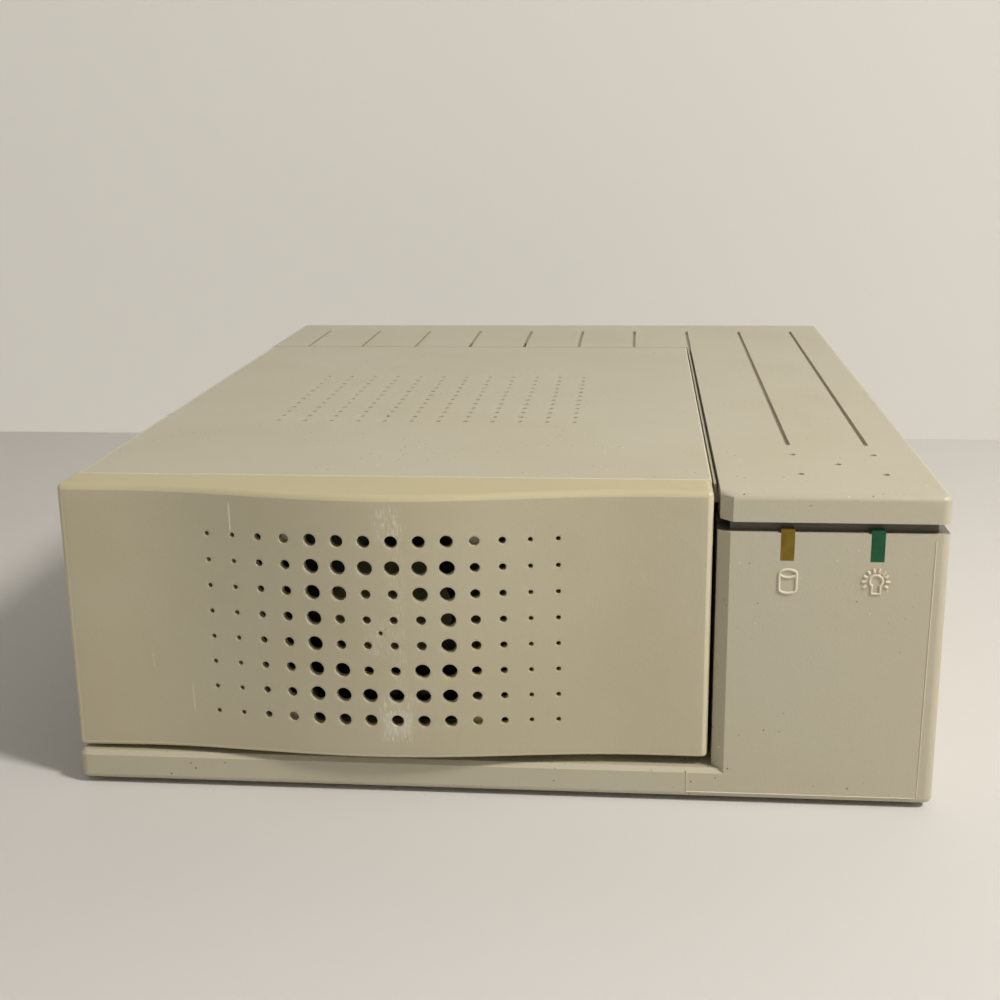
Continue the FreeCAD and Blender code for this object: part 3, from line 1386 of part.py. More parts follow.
def make_rear():
    """The steel rear plate with everything that is mounted in it."""
    half_w, half_h = d.shell_width / 2, d.shell_height / 2
    play = d.seam_gap
    inner_left, inner_right = left + d.wall + play, right - d.wall - play
    plate = block("plate_sheet", (inner_left, inner_right), (plate_y, plate_y + d.plate_thickness),
                  (floor + play, ceiling - play))
    tools = []
    levels = [("lower", base + d.connector_low_z), ("upper", upper_z)]
    through = (plate_y - CUT_OVER, plate_y + d.plate_thickness + CUT_OVER)
    for word, z in levels:
        tools.append(block(f"{word}_plate_hole", (connector_x - half_w, connector_x + half_w), through,
                           (z - half_h, z + half_h)))
        make_connector(f"{word}_connector", z)
        for side, hand in ((-1, "left"), (1, "right")):
            make_bail(f"{word}_{hand}_bail", side, z)
    inlet_half = d.inlet_mouth_width / 2 + d.inlet_wall
    inlet_half_z = d.inlet_mouth_height / 2 + d.inlet_wall
    tools.append(block("inlet_plate_hole", (inlet_x - inlet_half, inlet_x + inlet_half), through,
                       (inlet_z - inlet_half_z, inlet_z + inlet_half_z)))
    rocker_half = (d.rocker_width / 2, rocker_height / 2)
    tools.append(block("rocker_plate_hole", (rocker_x - rocker_half[0], rocker_x + rocker_half[0]),
                       through, (rocker_z - rocker_half[1], rocker_z + rocker_half[1])))
    switch_half = (d.switch_width / 2, switch_height / 2)
    tools.append(block("switch_plate_hole", (switch_x - switch_half[0], switch_x + switch_half[0]),
                       through, (switch_z - switch_half[1], switch_z + switch_half[1])))
    keep("rear_plate", cut("rear_plate_finished", plate, *tools))

    outer_y = plate_y + d.plate_thickness
    bezel = block("inlet_bezel", (inlet_x - d.inlet_width / 2, inlet_x + d.inlet_width / 2),
                  (outer_y, outer_y + d.bezel_thickness),
                  (inlet_z - d.inlet_height / 2, inlet_z + d.inlet_height / 2))
    inlet_front = outer_y + d.bezel_thickness - d.inlet_depth
    can = block("inlet_can", (inlet_x - inlet_half, inlet_x + inlet_half),
                (inlet_front - d.inlet_wall, outer_y + d.bezel_thickness),
                (inlet_z - inlet_half_z, inlet_z + inlet_half_z))
    mouth = body("inlet_mouth")
    shape = sketch(mouth, "mouth_outline", "XZ_Plane", -(outer_y + d.bezel_thickness + CUT_OVER))
    w, h, c = d.inlet_mouth_width / 2, d.inlet_mouth_height / 2, d.inlet_corner
    outline(shape, [
        (inlet_x - w, inlet_z - h), (inlet_x + w, inlet_z - h), (inlet_x + w, inlet_z + h - c),
        (inlet_x + w - c, inlet_z + h), (inlet_x - w + c, inlet_z + h), (inlet_x - w, inlet_z + h - c),
    ])
    pad(mouth, "mouth_space", shape, d.inlet_depth + CUT_OVER)
    keep("power_inlet", cut("inlet_finished", fuse("inlet_whole", bezel, can), mouth))
    pins = []
    for number, (across, up) in enumerate(((-1, -0.5), (0, 0.5), (1, -0.5))):
        x = inlet_x + across * d.inlet_pin_spacing
        z = inlet_z + up * d.inlet_pin_rise
        pins.append(block(f"inlet_pin_{number}", (x - d.inlet_pin_width / 2, x + d.inlet_pin_width / 2),
                          (inlet_front, inlet_front + d.inlet_pin_length),
                          (z - d.inlet_pin_height / 2, z + d.inlet_pin_height / 2)))
    keep("inlet_pins", group("inlet_pin_set", *pins))
    make_rocker(outer_y, rocker_half)
    make_id_switch(outer_y, switch_half)


def make_rocker(outer_y, half):
    """The mains rocker: a frame in the plate and a two-faced key on its pivot."""
    x, z = rocker_x, rocker_z
    rim, depth = d.rocker_frame, d.rocker_depth
    bezel = block("rocker_bezel", (x - half[0] - rim, x + half[0] + rim), (outer_y, outer_y + rim),
                  (z - half[1] - rim, z + half[1] + rim))
    can = block("rocker_can", (x - half[0], x + half[0]), (outer_y - depth, outer_y),
                (z - half[1], z + half[1]))
    room = block("rocker_room", (x - half[0] + rim, x + half[0] - rim), (outer_y - depth + rim, outer_y + rim * 2),
                 (z - half[1] + rim, z + half[1] - rim))
    keep("rocker_body", cut("rocker_body_finished", fuse("rocker_body_whole", bezel, can), room))
    key = body("rocker_key")
    width = d.rocker_width - 2 * rim - 2 * d.rocker_gap
    side = sketch(key, "rocker_side", "YZ_Plane", -width / 2)
    reach = half[1] - rim - d.rocker_end_gap
    pivot_y = outer_y - d.rocker_pivot_depth
    crest = d.rocker_pivot_depth + rim + d.rocker_proud
    outline(side, [
        (-d.rocker_keel, -d.rocker_keel), (size(0), -reach), (crest, d.rocker_slope - reach),
        (crest - d.rocker_dish, size(0)), (crest, reach - d.rocker_slope), (size(0), reach),
        (-d.rocker_keel, d.rocker_keel),
    ])
    pad(key, "rocker_solid", side, width)
    key.Placement = FreeCAD.Placement(FreeCAD.Vector(), FreeCAD.Rotation(FreeCAD.Vector(1, 0, 0), 0))
    place(key, x, pivot_y, z)
    bind(key, "Placement.Rotation.Axis.x", 1)
    bind(key, "Placement.Rotation.Angle", -d.rocker_tilt)
    stub = rod("rocker_pivot", "x", (x - half[0] + rim + d.rocker_pin_gap, pivot_y, z), d.rocker_pin,
               d.rocker_width - 2 * rim - 2 * d.rocker_pin_gap)
    keep("power_rocker", fuse("rocker_whole", key, stub))


def make_id_switch(outer_y, half):
    """The push-button address switch: a body, a numbered wheel in a window and a button each side."""
    x, z = switch_x, switch_z
    rim = d.switch_frame
    can = block("switch_can", (x - half[0], x + half[0]), (outer_y - d.switch_depth, outer_y),
                (z - half[1], z + half[1]))
    bezel = block("switch_bezel", (x - half[0] - rim, x + half[0] + rim), (outer_y, outer_y + rim),
                  (z - half[1] - rim, z + half[1] + rim))
    wheel_radius = half[1] - rim - d.button_height - d.wheel_room
    wheel_y = outer_y - wheel_radius + d.switch_frame / 2
    wheel_half = d.wheel_width / 2
    room_half = wheel_half + d.running_gap
    room = block("wheel_room", (x - room_half, x + room_half),
                 (wheel_y - wheel_radius - d.running_gap * 2, outer_y + rim + CUT_OVER),
                 (z - wheel_radius - d.running_gap * 2, z + wheel_radius + d.running_gap * 2))
    tools = [room]
    button_half = d.button_height / 2
    offset = half[1] - rim - button_half
    for word, side in (("down", -1), ("up", 1)):
        middle = z + side * offset
        gap = d.button_gap
        tools.append(block(f"button_room_{word}", (x - half[0] + rim, x + half[0] - rim),
                           (outer_y - d.button_depth - d.button_travel - d.running_gap,
                            outer_y + rim + CUT_OVER),
                           (middle - button_half - gap, middle + button_half)))
        keep(f"id_button_{word}", block(
            f"button_{word}", (x - half[0] + rim + gap, x + half[0] - rim - gap),
            (outer_y - d.button_depth, outer_y + rim + d.button_proud),
            (middle - button_half, middle + button_half - gap),
        ))
    axle_hole = rod("wheel_axle_hole", "x", (x - room_half - d.wheel_axle_end, wheel_y, z),
                    d.wheel_axle + d.axle_play, 2 * (room_half + d.wheel_axle_end))
    keep("id_switch_body", cut("switch_finished", fuse("switch_whole", can, bezel), *tools, axle_hole))
    wheel = prism("wheel_drum", "x", (x - wheel_half, wheel_y, z), wheel_radius, d.wheel_width, WHEEL_SIDES)
    axle = rod("wheel_axle", "x", (x - room_half - d.wheel_axle_end / 2, wheel_y, z), d.wheel_axle,
               2 * room_half + d.wheel_axle_end)
    keep("id_wheel", fuse("wheel_whole", wheel, axle))


def lead_x(number):
    """X of one of the three leads that leave the supply's rear terminals."""
    return supply_left + d.lead_inset + number * d.lead_pitch


def make_cables():
    """The flat bus cable behind the drive, and the leads of the supply, each held along its route."""
    t, r = d.ribbon_thickness, d.ribbon_bend
    drive_back = face + d.drive_start + drive_length
    yb = plate_y - d.connector_back
    zb = drive_z + (d.drive_board_space - t) / 2
    zt = upper_z + d.ribbon_top
    ribbon = body("ribbon_sheet")
    side = sketch(ribbon, "ribbon_side", "YZ_Plane", connector_x - d.ribbon_width / 2)
    outline(side, [
        (yb, zt), (yb - t, zt), (yb - t, zb + t + r), (yb - t - r, zb + t), (drive_back, zb + t),
        (drive_back, zb), (yb - t - r, zb), (yb, zb + t + r),
    ], {2: -r * QUARTER_BULGE, 6: (r + t) * QUARTER_BULGE})
    pad(ribbon, "ribbon_solid", side, d.ribbon_width)
    keep("bus_ribbon", ribbon)

    def route(*stops):
        return [FreeCAD.Vector(*[size(value).number for value in stop]) for stop in stops]

    bend, radius = sheet.lead_bend, sheet.lead_radius
    run_y = drive_back + d.lead_run
    drive_lead = route((lead_x(0), supply_back, lead_z), (lead_x(0), run_y, lead_z),
                       (drive_socket_x, run_y, lead_z), (drive_socket_x, drive_back, lead_z))
    fan_run_y = (fan_back + face + d.drive_start) / 2
    fan_end_x = bay_x + fan_half - d.fan_lead_edge
    fan_lead = route((fan_lead_x, supply_y, lead_z), (fan_lead_x, fan_run_y, lead_z),
                     (fan_end_x, fan_run_y, lead_z), (fan_end_x, fan_back, lead_z))
    keep("power_leads", group(
        "power_lead_set",
        fixed("drive_lead", wire(drive_lead, bend, radius)),
        fixed("fan_lead", wire(fan_lead, bend, radius)),
    ))
    can_back = plate_y + d.plate_thickness + d.bezel_thickness - d.inlet_depth - d.inlet_wall
    key_back = plate_y + d.plate_thickness - d.rocker_depth
    fall_y = (supply_back + run_y) / 2
    switch_lead = route((lead_x(1), supply_back, lead_z), (lead_x(1), fall_y, lead_z),
                        (lead_x(1), fall_y, rocker_z), (lead_x(1), key_back, rocker_z))
    inlet_lead = prism("inlet_lead", "y", (lead_x(2), supply_back, lead_z), d.lead_radius,
                     can_back - supply_back)
    keep("mains_leads", group(
        "mains_lead_set", fixed("switch_lead", wire(switch_lead, bend, radius)), inlet_lead,
    ))


def make_housing_screws():
    """Long screws from under the tray, up through its bosses into the top housing."""
    screws = []
    for number, (x, y) in enumerate(BOSSES):
        head = prism(f"case_screw_head_{number}", "z", (x, y, base), d.screw_head, d.screw_head_height)
        shank = prism(f"case_screw_shank_{number}", "z", (x, y, base + d.screw_head_height), d.screw_radius,
                    d.boss_height + d.screw_bite - d.screw_head_height)
        screws.append(fuse(f"case_screw_{number}", head, shank))
    keep("housing_screws", group("case_screws", *screws))


def build():
    """Make every sub-part, check the document and each shape, and write the files."""
    for maker in (make_base, make_top_housing, make_bay_cover, make_front_panel, make_lamps, make_feet,
                  make_fan, make_drive, make_bracket, make_supply, make_rear, make_cables,
                  make_housing_screws):
        maker()
    doc.recompute()
    failed = [item.Label for item in doc.Objects if {"Invalid", "Error"} & set(item.State)]
    if failed:
        raise RuntimeError(f"these objects failed: {failed}")
    for node, thing in PARTS:
        if thing.Shape.isNull() or not thing.Shape.isValid() or not thing.Shape.Solids:
            raise RuntimeError(f"{node} has no valid solid")
    for node, thing in PARTS:
        thing.Shape.exportStep(f"parts/{node}.step")
        print(f"{node}: {len(thing.Shape.Solids)} solids, {thing.Shape.Volume:.0f} mm3")


build()
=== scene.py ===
"""An external disk drive in a pale desktop case, dressed over its working frame.

The case, its bowed and perforated bezel, the bay cover, the raised marks on the column
and the wire bails at the back are each built by a class of their own; the lamps and the
other rear fittings keep the frame's shapes and are only given their finishes. Sizes are
metres in the row frame: x to the right, y to the back and z up, with the feet on z = 0.
"""

import json
import logging
import math
from collections.abc import Iterable, Mapping, Sequence
from dataclasses import dataclass, field
from enum import Enum

import bmesh
import bpy
from mathutils import Matrix, Vector

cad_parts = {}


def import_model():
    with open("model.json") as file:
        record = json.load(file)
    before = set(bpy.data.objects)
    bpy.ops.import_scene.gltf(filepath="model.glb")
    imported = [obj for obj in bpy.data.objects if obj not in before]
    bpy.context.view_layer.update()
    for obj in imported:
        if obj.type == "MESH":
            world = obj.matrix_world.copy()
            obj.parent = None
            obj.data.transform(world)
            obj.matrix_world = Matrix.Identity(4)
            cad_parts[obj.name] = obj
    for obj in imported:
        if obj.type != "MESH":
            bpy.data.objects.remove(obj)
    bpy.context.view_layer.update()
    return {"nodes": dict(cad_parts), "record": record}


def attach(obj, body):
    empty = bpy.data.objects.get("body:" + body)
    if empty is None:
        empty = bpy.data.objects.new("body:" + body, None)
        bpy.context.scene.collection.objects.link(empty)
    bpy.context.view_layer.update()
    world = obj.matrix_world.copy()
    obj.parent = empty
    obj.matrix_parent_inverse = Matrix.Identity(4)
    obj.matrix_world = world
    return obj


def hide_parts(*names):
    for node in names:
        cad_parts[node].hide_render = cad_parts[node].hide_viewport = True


MM = 0.001
TOUCH = 0.01 * MM
FOLD = math.radians(50.0)
# Name of the face layer that lightens a skin in colour: abraded edges, and painted highlights on the bezel's
# hole rims and the raised column marks.
WEAR_AND_HIGHLIGHT = "abrasion_and_highlight"

log = logging.getLogger("enclosure")

Value = float | int | Sequence[float]


class Grain(Enum):
    """How a moulded or coated surface is broken up."""

    SPARK = "spark eroded tool texture"
    SATIN = "fine satin skin"
    RUBBER = "soft rubber skin"
    SLEEVE = "shrunk sleeve"


class Lay(Enum):
    """The way a metal surface was worked."""

    BRUSHED_X = "brushed along x"
    BRUSHED_Z = "brushed along z"
    CAST = "cast and tumbled"
    PLATED = "plated with a faint spangle"
    TURNED = "turned or polished"
    LAMINATED = "stacked sheets"


@dataclass(frozen=True)
class Tint:
    """A colour as it is seen on a display, each part from 0 to 255."""

    red: float
    green: float
    blue: float

    def linear(self) -> tuple[float, float, float, float]:
        """The colour in the linear light that a shader works in."""
        parts = []
        for seen in (self.red, self.green, self.blue):
            share = seen / 255.0
            parts.append(share / 12.92 if share <= 0.04045 else ((share + 0.055) / 1.055) ** 2.4)
        return (parts[0], parts[1], parts[2], 1.0)

    def scaled(self, factor: float) -> "Tint":
        """The same colour, lighter or darker by a factor."""
        return Tint(self.red * factor, self.green * factor, self.blue * factor)


class Signal:
    """One output of a shader network, with arithmetic on it."""

    def __init__(self, net: "Network", socket: bpy.types.NodeSocket) -> None:
        """Keep the network and the socket together."""
        self.net = net
        self.socket = socket

    def _math(self, operation: str, first: "Signal | float", second: "Signal | float") -> "Signal":
        """Join two values by one Math node."""
        node = self.net.node("ShaderNodeMath", {"operation": operation}, {0: first, 1: second})
        return Signal(self.net, node.outputs[0])

    def __add__(self, other: "Signal | float") -> "Signal":
        """Sum."""
        return self._math("ADD", self, other)

    def __radd__(self, other: float) -> "Signal":
        """Sum with a number on the left."""
        return self._math("ADD", other, self)

    def __sub__(self, other: "Signal | float") -> "Signal":
        """Difference."""
        return self._math("SUBTRACT", self, other)

    def __rsub__(self, other: float) -> "Signal":
        """Difference from a number on the left."""
        return self._math("SUBTRACT", other, self)

    def __mul__(self, other: "Signal | float") -> "Signal":
        """Product."""
        return self._math("MULTIPLY", self, other)

    def __rmul__(self, other: float) -> "Signal":
        """Product with a number on the left."""
        return self._math("MULTIPLY", other, self)

    def __truediv__(self, other: "Signal | float") -> "Signal":
        """Quotient."""
        return self._math("DIVIDE", self, other)

    def size(self) -> "Signal":
        """The value without its sign."""
        return self._math("ABSOLUTE", self, 0.0)

    def ramp(self, start: float, end: float) -> "Signal":
        """A smooth climb from zero at start to one at end."""
        settings = {"interpolation_type": "SMOOTHSTEP", "clamp": True}
        node = self.net.node("ShaderNodeMapRange", settings, {"Value": self})
        node.inputs["From Min"].default_value = start
        node.inputs["From Max"].default_value = end
        return Signal(self.net, node.outputs["Result"])


class Network:
    """The shader of one finish: a Principled surface and what feeds it."""

    def __init__(self, name: str) -> None:
        """Start an empty material.

        Args:
            name: name of the material.
        """
        self.material = bpy.data.materials.new(name)
        self.material.use_nodes = True
        self.tree = self.material.node_tree
        self.tree.nodes.clear()
        self.output = self.node("ShaderNodeOutputMaterial")
        self.surface = self.node("ShaderNodeBsdfPrincipled")
        self.tree.links.new(self.surface.outputs[0], self.output.inputs["Surface"])
        self._place: Signal | None = None

    def node(
        self,
        kind: str,
        settings: Mapping[str, object] | None = None,
        inputs: Mapping[int | str, "Signal | Value"] | None = None,
    ) -> bpy.types.Node:
        """Add a node.

        Args:
            kind: Blender's name of the node type.
            settings: properties of the node, set before its sockets.
            inputs: a value or a signal for each named or numbered socket.

        Returns:
            The new node.
        """
        made = self.tree.nodes.new(kind)
        for name, value in (settings or {}).items():
            setattr(made, name, value)
        for name, value in (inputs or {}).items():
            if isinstance(value, Signal):
                self.tree.links.new(value.socket, made.inputs[name])
            else:
                made.inputs[name].default_value = value
        return made

    def place(self) -> Signal:
        """The point on the surface, in metres of the row frame."""
        if self._place is None:
            self._place = Signal(self, self.node("ShaderNodeTexCoord").outputs["Object"])
        return self._place

    def axes(self) -> tuple[Signal, Signal, Signal]:
        """The three coordinates of the point on the surface."""
        node = self.node("ShaderNodeSeparateXYZ", None, {0: self.place()})
        x, y, z = (Signal(self, socket) for socket in node.outputs)
        return x, y, z

    def stretched(self, scale: Sequence[float], turn: Sequence[float] = (0.0, 0.0, 0.0)) -> Signal:
        """The point on the surface, scaled and turned for a directional pattern."""
        settings = {"vector_type": "POINT"}
        inputs = {"Vector": self.place(), "Scale": tuple(scale), "Rotation": tuple(turn)}
        return Signal(self, self.node("ShaderNodeMapping", settings, inputs).outputs[0])

    def noise(
        self, width: float, detail: float = 2.0, at: Signal | None = None, rough: float = 0.5
    ) -> Signal:
        """Cloudy noise from zero to one.

        Args:
            width: size of its patches in metres, or in the units of at.
            detail: number of finer layers.
            at: the point it is read at, otherwise the surface point.
            rough: weight of the finer layers.

        Returns:
            The noise value.
        """
        inputs = {"Vector": at or self.place(), "Scale": 1.0 / width, "Detail": detail, "Roughness": rough}
        return Signal(self, self.node("ShaderNodeTexNoise", {}, inputs).outputs[0])

    def cells(self, width: float, at: Signal | None = None) -> Signal:
        """Distance to the nearest of scattered points, in shares of width."""
        inputs = {"Vector": at or self.place(), "Scale": 1.0 / width}
        return Signal(self, self.node("ShaderNodeTexVoronoi", {}, inputs).outputs["Distance"])

    def abraded_and_highlit(self) -> Signal:
        """How much this point is lightened, as its mesh carries it: abraded edges, and painted highlights on
        the bezel's hole rims and raised marks.
        """
        node = self.node("ShaderNodeAttribute", {"attribute_name": WEAR_AND_HIGHLIGHT})
        return Signal(self, node.outputs["Fac"])

    def mix(self, share: Signal | float, first: "Signal | Tint", second: "Signal | Tint") -> Signal:
        """Blend two colours.

        Args:
            share: zero gives the first, one the second.
            first: a colour or a colour signal.
            second: a colour or a colour signal.

        Returns:
            The blended colour.
        """
        node = self.node("ShaderNodeMix", {"data_type": "RGBA"}, {0: share})
        for slot, colour in ((6, first), (7, second)):
            if isinstance(colour, Tint):
                node.inputs[slot].default_value = colour.linear()
            else:
                self.tree.links.new(colour.socket, node.inputs[slot])
        return Signal(self, node.outputs[2])

    def feed(self, name: str, signal: Signal) -> None:
        """Link a signal to a socket of the surface."""
        self.tree.links.new(signal.socket, self.surface.inputs[name])

    def fix(self, name: str, value: Value) -> None:
        """Set a socket of the surface that is the same all over."""
        self.surface.inputs[name].default_value = value

    def relief(self, height: Signal, depth: float, strength: float = 1.0) -> None:
        """Raise and sink the surface by a height from zero to one.

        Args:
            height: the height signal.
            depth: metres between its zero and one.
            strength: share of the effect that is shown.
        """
        bump = self.node("ShaderNodeBump", None, {"Height": height, "Distance": depth, "Strength": strength})
        self.tree.links.new(bump.outputs[0], self.surface.inputs["Normal"])


@dataclass(frozen=True)
class Scuff:
    """A scuffed or scratched place on a front face, by its middle and half size."""

    x: float
    z: float
    half_x: float
    half_z: float
    strength: float
    tint: Tint = Tint(226, 222, 206)
    streaked: bool = True

    def mask(self, net: Network) -> Signal:
        """Where the scuff shows.

        Args:
            net: the shader being built.

        Returns:
            The mask from zero to one.
        """
        x, y, z = net.axes()
        across = 1.0 - ((x - self.x).size() / self.half_x).ramp(0.45, 1.0)
        up = 1.0 - ((z - self.z).size() / self.half_z).ramp(0.55, 1.0)
        front = 1.0 - y.ramp(-0.1005, -0.0990)
        place = across * up * front * self.strength
        if not self.streaked:
            return place
        streak = net.noise(1.0, 4.0, net.stretched((4200.0, 4200.0, 500.0)), 0.75).ramp(0.48, 0.70)
        return place * streak


@dataclass(frozen=True)
class Moulded:
    """A moulded plastic, rubber or vinyl finish."""

    slot: str
    colour: Tint
    aged: Tint
    roughness: float
    grain: Grain = Grain.SPARK
    ageing: float = 0.5
    dust: float = 0.0
    sunned: float = 0.0
    # Painted shade: how far the deep reveal under the lid's lip is darkened.
    reveal_shade: float = 0.0
    yellowed: Tint = Tint(190, 178, 136)
    scuffs: "tuple[Scuff, ...]" = ()

    def widths(self) -> tuple[float, float]:
        """Width and depth of the grain, in metres."""
        return {
            Grain.SPARK: (0.42 * MM, 0.030 * MM),
            Grain.SATIN: (0.25 * MM, 0.010 * MM),
            Grain.RUBBER: (0.60 * MM, 0.050 * MM),
            Grain.SLEEVE: (1.20 * MM, 0.040 * MM),
        }[self.grain]

    def network(self) -> Network:
        """Build the shader of this finish.

        Returns:
            The network, with its material.
        """
        net = Network(self.slot)
        width, depth = self.widths()
        cloud = net.noise(34 * MM, 3.0)
        fine = net.noise(width, 2.0, rough=0.6)
        colour = net.mix(cloud.ramp(0.35, 0.75) * self.ageing, self.colour, self.aged)
        colour = net.mix((fine - 0.5).size() * 0.22, colour, self.aged.scaled(0.86))
        # Lightened where the mesh's layer is set: abraded edges, and painted highlights on the bezel's hole
        # rims and the raised column marks.
        colour = net.mix(net.abraded_and_highlit() * 0.40, colour, self.colour.scaled(1.24))
        if self.sunned:
            _, _, height = net.axes()
            colour = net.mix(height.ramp(59.4 * MM, 60.7 * MM) * self.sunned, colour, self.yellowed)
        # Painted shade: the deep reveal groove between the lid's lip and the column is darkened nearly to
        # black.
        if self.reveal_shade:
            _, deep, height = net.axes()
            inside = deep.ramp(-101.8 * MM, -100.9 * MM) * (1.0 - deep.ramp(-96.0 * MM, -95.0 * MM))
            band = height.ramp(53.55 * MM, 53.75 * MM) * (1.0 - height.ramp(55.62 * MM, 55.82 * MM))
            colour = net.mix(inside * band * self.reveal_shade, colour, self.aged.scaled(0.30))
        for scuff in self.scuffs:
            colour = net.mix(scuff.mask(net), colour, scuff.tint)
        if self.dust:
            colour = self.specks(net, colour)
        net.feed("Base Color", colour)
        net.feed("Roughness", self.roughness + (cloud - 0.5) * 0.16 - net.abraded_and_highlit() * 0.10)
        net.relief(fine, depth)
        return net

    def specks(self, net: Network, colour: Signal) -> Signal:
        """Scatter fine dark grit over the finish.

        Args:
            net: the shader being built.
            colour: the colour so far.

        Returns:
            The colour with the grit on it.
        """
        patch = net.noise(18 * MM, 2.0).ramp(0.47, 0.62)
        grit = 1.0 - net.cells(2.1 * MM).ramp(0.05, 0.13)
        pale = 1.0 - net.cells(2.7 * MM).ramp(0.03, 0.09)
        colour = net.mix(pale * patch * self.dust, colour, self.colour.scaled(1.3))
        return net.mix(grit * patch * self.dust, colour, self.aged.scaled(0.40))


@dataclass(frozen=True)
class Metal:
    """A bare or plated metal finish."""

    slot: str
    colour: Tint
    roughness: float
    lay: Lay
    tarnish: Tint = Tint(96, 92, 84)
    dulled: float = 0.25

    def pattern(self, net: Network) -> tuple[Signal, float]:
        """The worked pattern of the surface.

        Args:
            net: the shader being built.

        Returns:
            The pattern from zero to one, and its depth in metres.
        """
        if self.lay is Lay.BRUSHED_X:
            return net.noise(1.0, 2.0, net.stretched((60.0, 5200.0, 5200.0))), 0.006 * MM
        if self.lay is Lay.BRUSHED_Z:
            return net.noise(1.0, 2.0, net.stretched((5200.0, 5200.0, 60.0))), 0.006 * MM
        if self.lay is Lay.CAST:
            return net.noise(0.7 * MM, 3.0, rough=0.65), 0.060 * MM
        if self.lay is Lay.PLATED:
            return net.cells(5.5 * MM), 0.004 * MM
        if self.lay is Lay.LAMINATED:
            return net.noise(1.0, 1.0, net.stretched((2200.0, 40.0, 40.0))), 0.050 * MM
        return net.noise(0.5 * MM, 2.0), 0.003 * MM

    def network(self) -> Network:
        """Build the shader of this finish.

        Returns:
            The network, with its material.
        """
        net = Network(self.slot)
        net.fix("Metallic", 1.0)
        pattern, depth = self.pattern(net)
        cloud = net.noise(9 * MM, 3.0)
        colour = net.mix(cloud.ramp(0.45, 0.8) * self.dulled, self.colour, self.tarnish)
        colour = net.mix((pattern - 0.5).size() * 0.30, colour, self.colour.scaled(0.82))
        colour = net.mix(net.abraded_and_highlit() * 0.5, colour, self.colour.scaled(1.12))
        net.feed("Base Color", colour)
        net.feed("Roughness", self.roughness + (pattern - 0.5) * 0.14 + (cloud - 0.5) * 0.12)
        net.relief(pattern, depth)
        return net


@dataclass(frozen=True)
class Board:
    """A green circuit board with tracks under its lacquer."""

    slot: str
    colour: Tint
    track: Tint

    def network(self) -> Network:
        """Build the shader of this finish.

        Returns:
            The network, with its material.
        """
        net = Network(self.slot)
        weave = {"Scale": 90.0, "Mortar Size": 0.035, "Brick Width": 0.9, "Row Height": 0.16}
        run = net.node("ShaderNodeTexBrick", {"offset": 0.37}, {"Vector": net.place(), **weave})
        tracks = Signal(net, run.outputs["Fac"])
        cloud = net.noise(6 * MM, 2.0)
        colour = net.mix(tracks, self.colour, self.track)
        colour = net.mix(cloud.ramp(0.5, 0.8) * 0.4, colour, self.colour.scaled(0.7))
        net.feed("Base Color", colour)
        net.feed("Roughness", 0.36 + cloud * 0.16)
        net.relief(tracks, 0.03 * MM)
        net.fix("Coat Weight", 0.35)
        return net


@dataclass(frozen=True)
class Lens:
    """A cast clear plastic that carries a lamp's light."""

    slot: str
    colour: Tint
    deep: Tint

    def network(self) -> Network:
        """Build the shader of this finish.

        Returns:
            The network, with its material.
        """
        net = Network(self.slot)
        streak = net.noise(1.0, 2.0, net.stretched((1400.0, 1400.0, 240.0)))
        cloud = net.noise(2.4 * MM, 2.0)
        colour = net.mix(cloud.ramp(0.3, 0.75), self.colour, self.deep)
        colour = net.mix(streak.ramp(0.55, 0.8) * 0.5, colour, self.colour.scaled(1.35))
        net.feed("Base Color", colour)
        net.feed("Roughness", 0.30 + streak * 0.16)
        net.fix("Transmission Weight", 0.15)
        net.fix("IOR", 1.40)
        net.relief(streak, 0.012 * MM)
        return net


@dataclass(frozen=True)
class Ribbon:
    """A flat vinyl cable of many side by side conductors."""

    slot: str
    colour: Tint
    marked: Tint
    pitch: float = 1.27 * MM

    def network(self) -> Network:
        """Build the shader of this finish.

        Returns:
            The network, with its material.
        """
        net = Network(self.slot)
        x, _, _ = net.axes()
        phase = x / self.pitch
        folded = net.node("ShaderNodeMath", {"operation": "PINGPONG"}, {0: phase, 1: 0.5})
        ridge = Signal(net, folded.outputs[0])
        cloud = net.noise(4 * MM, 2.0)
        # Painted shade: the colour is darker in the valleys between the conductors.
        colour = net.mix(1.0 - ridge.ramp(0.02, 0.22), self.colour, self.colour.scaled(0.62))
        colour = net.mix(cloud.ramp(0.5, 0.85) * 0.25, colour, self.marked)
        net.feed("Base Color", colour)
        net.feed("Roughness", 0.44 + cloud * 0.12)
        net.relief(ridge.ramp(0.0, 0.5), 0.25 * MM)
        return net


Finish = Moulded | Metal | Board | Lens | Ribbon

CASE_CREAM = Tint(186, 179, 157)
CASE_AGED = Tint(182, 173, 146)
BEZEL_CREAM = Tint(186, 178, 152)
BEZEL_AGED = Tint(181, 171, 140)
BEZEL_SCUFFS = (
    Scuff(-18.6 * MM, 55.6 * MM, 3.4 * MM, 4.4 * MM, 0.85),
    Scuff(-21.0 * MM, 33.0 * MM, 3.2 * MM, 4.6 * MM, 0.50),
    Scuff(-18.0 * MM, 16.6 * MM, 4.2 * MM, 6.4 * MM, 0.90),
    Scuff(-18.0 * MM, 15.8 * MM, 3.6 * MM, 3.0 * MM, 0.28, streaked=False),
    Scuff(-17.2 * MM, 37.0 * MM, 1.8 * MM, 23.0 * MM, 0.50),
    Scuff(-48.6 * MM, 55.5 * MM, 0.22 * MM, 3.4 * MM, 0.75, streaked=False),
    Scuff(-58.4 * MM, 18.5 * MM, 0.16 * MM, 3.4 * MM, 0.45, streaked=False),
    Scuff(-66.0 * MM, 26.0 * MM, 0.14 * MM, 1.8 * MM, 0.30, streaked=False),
)

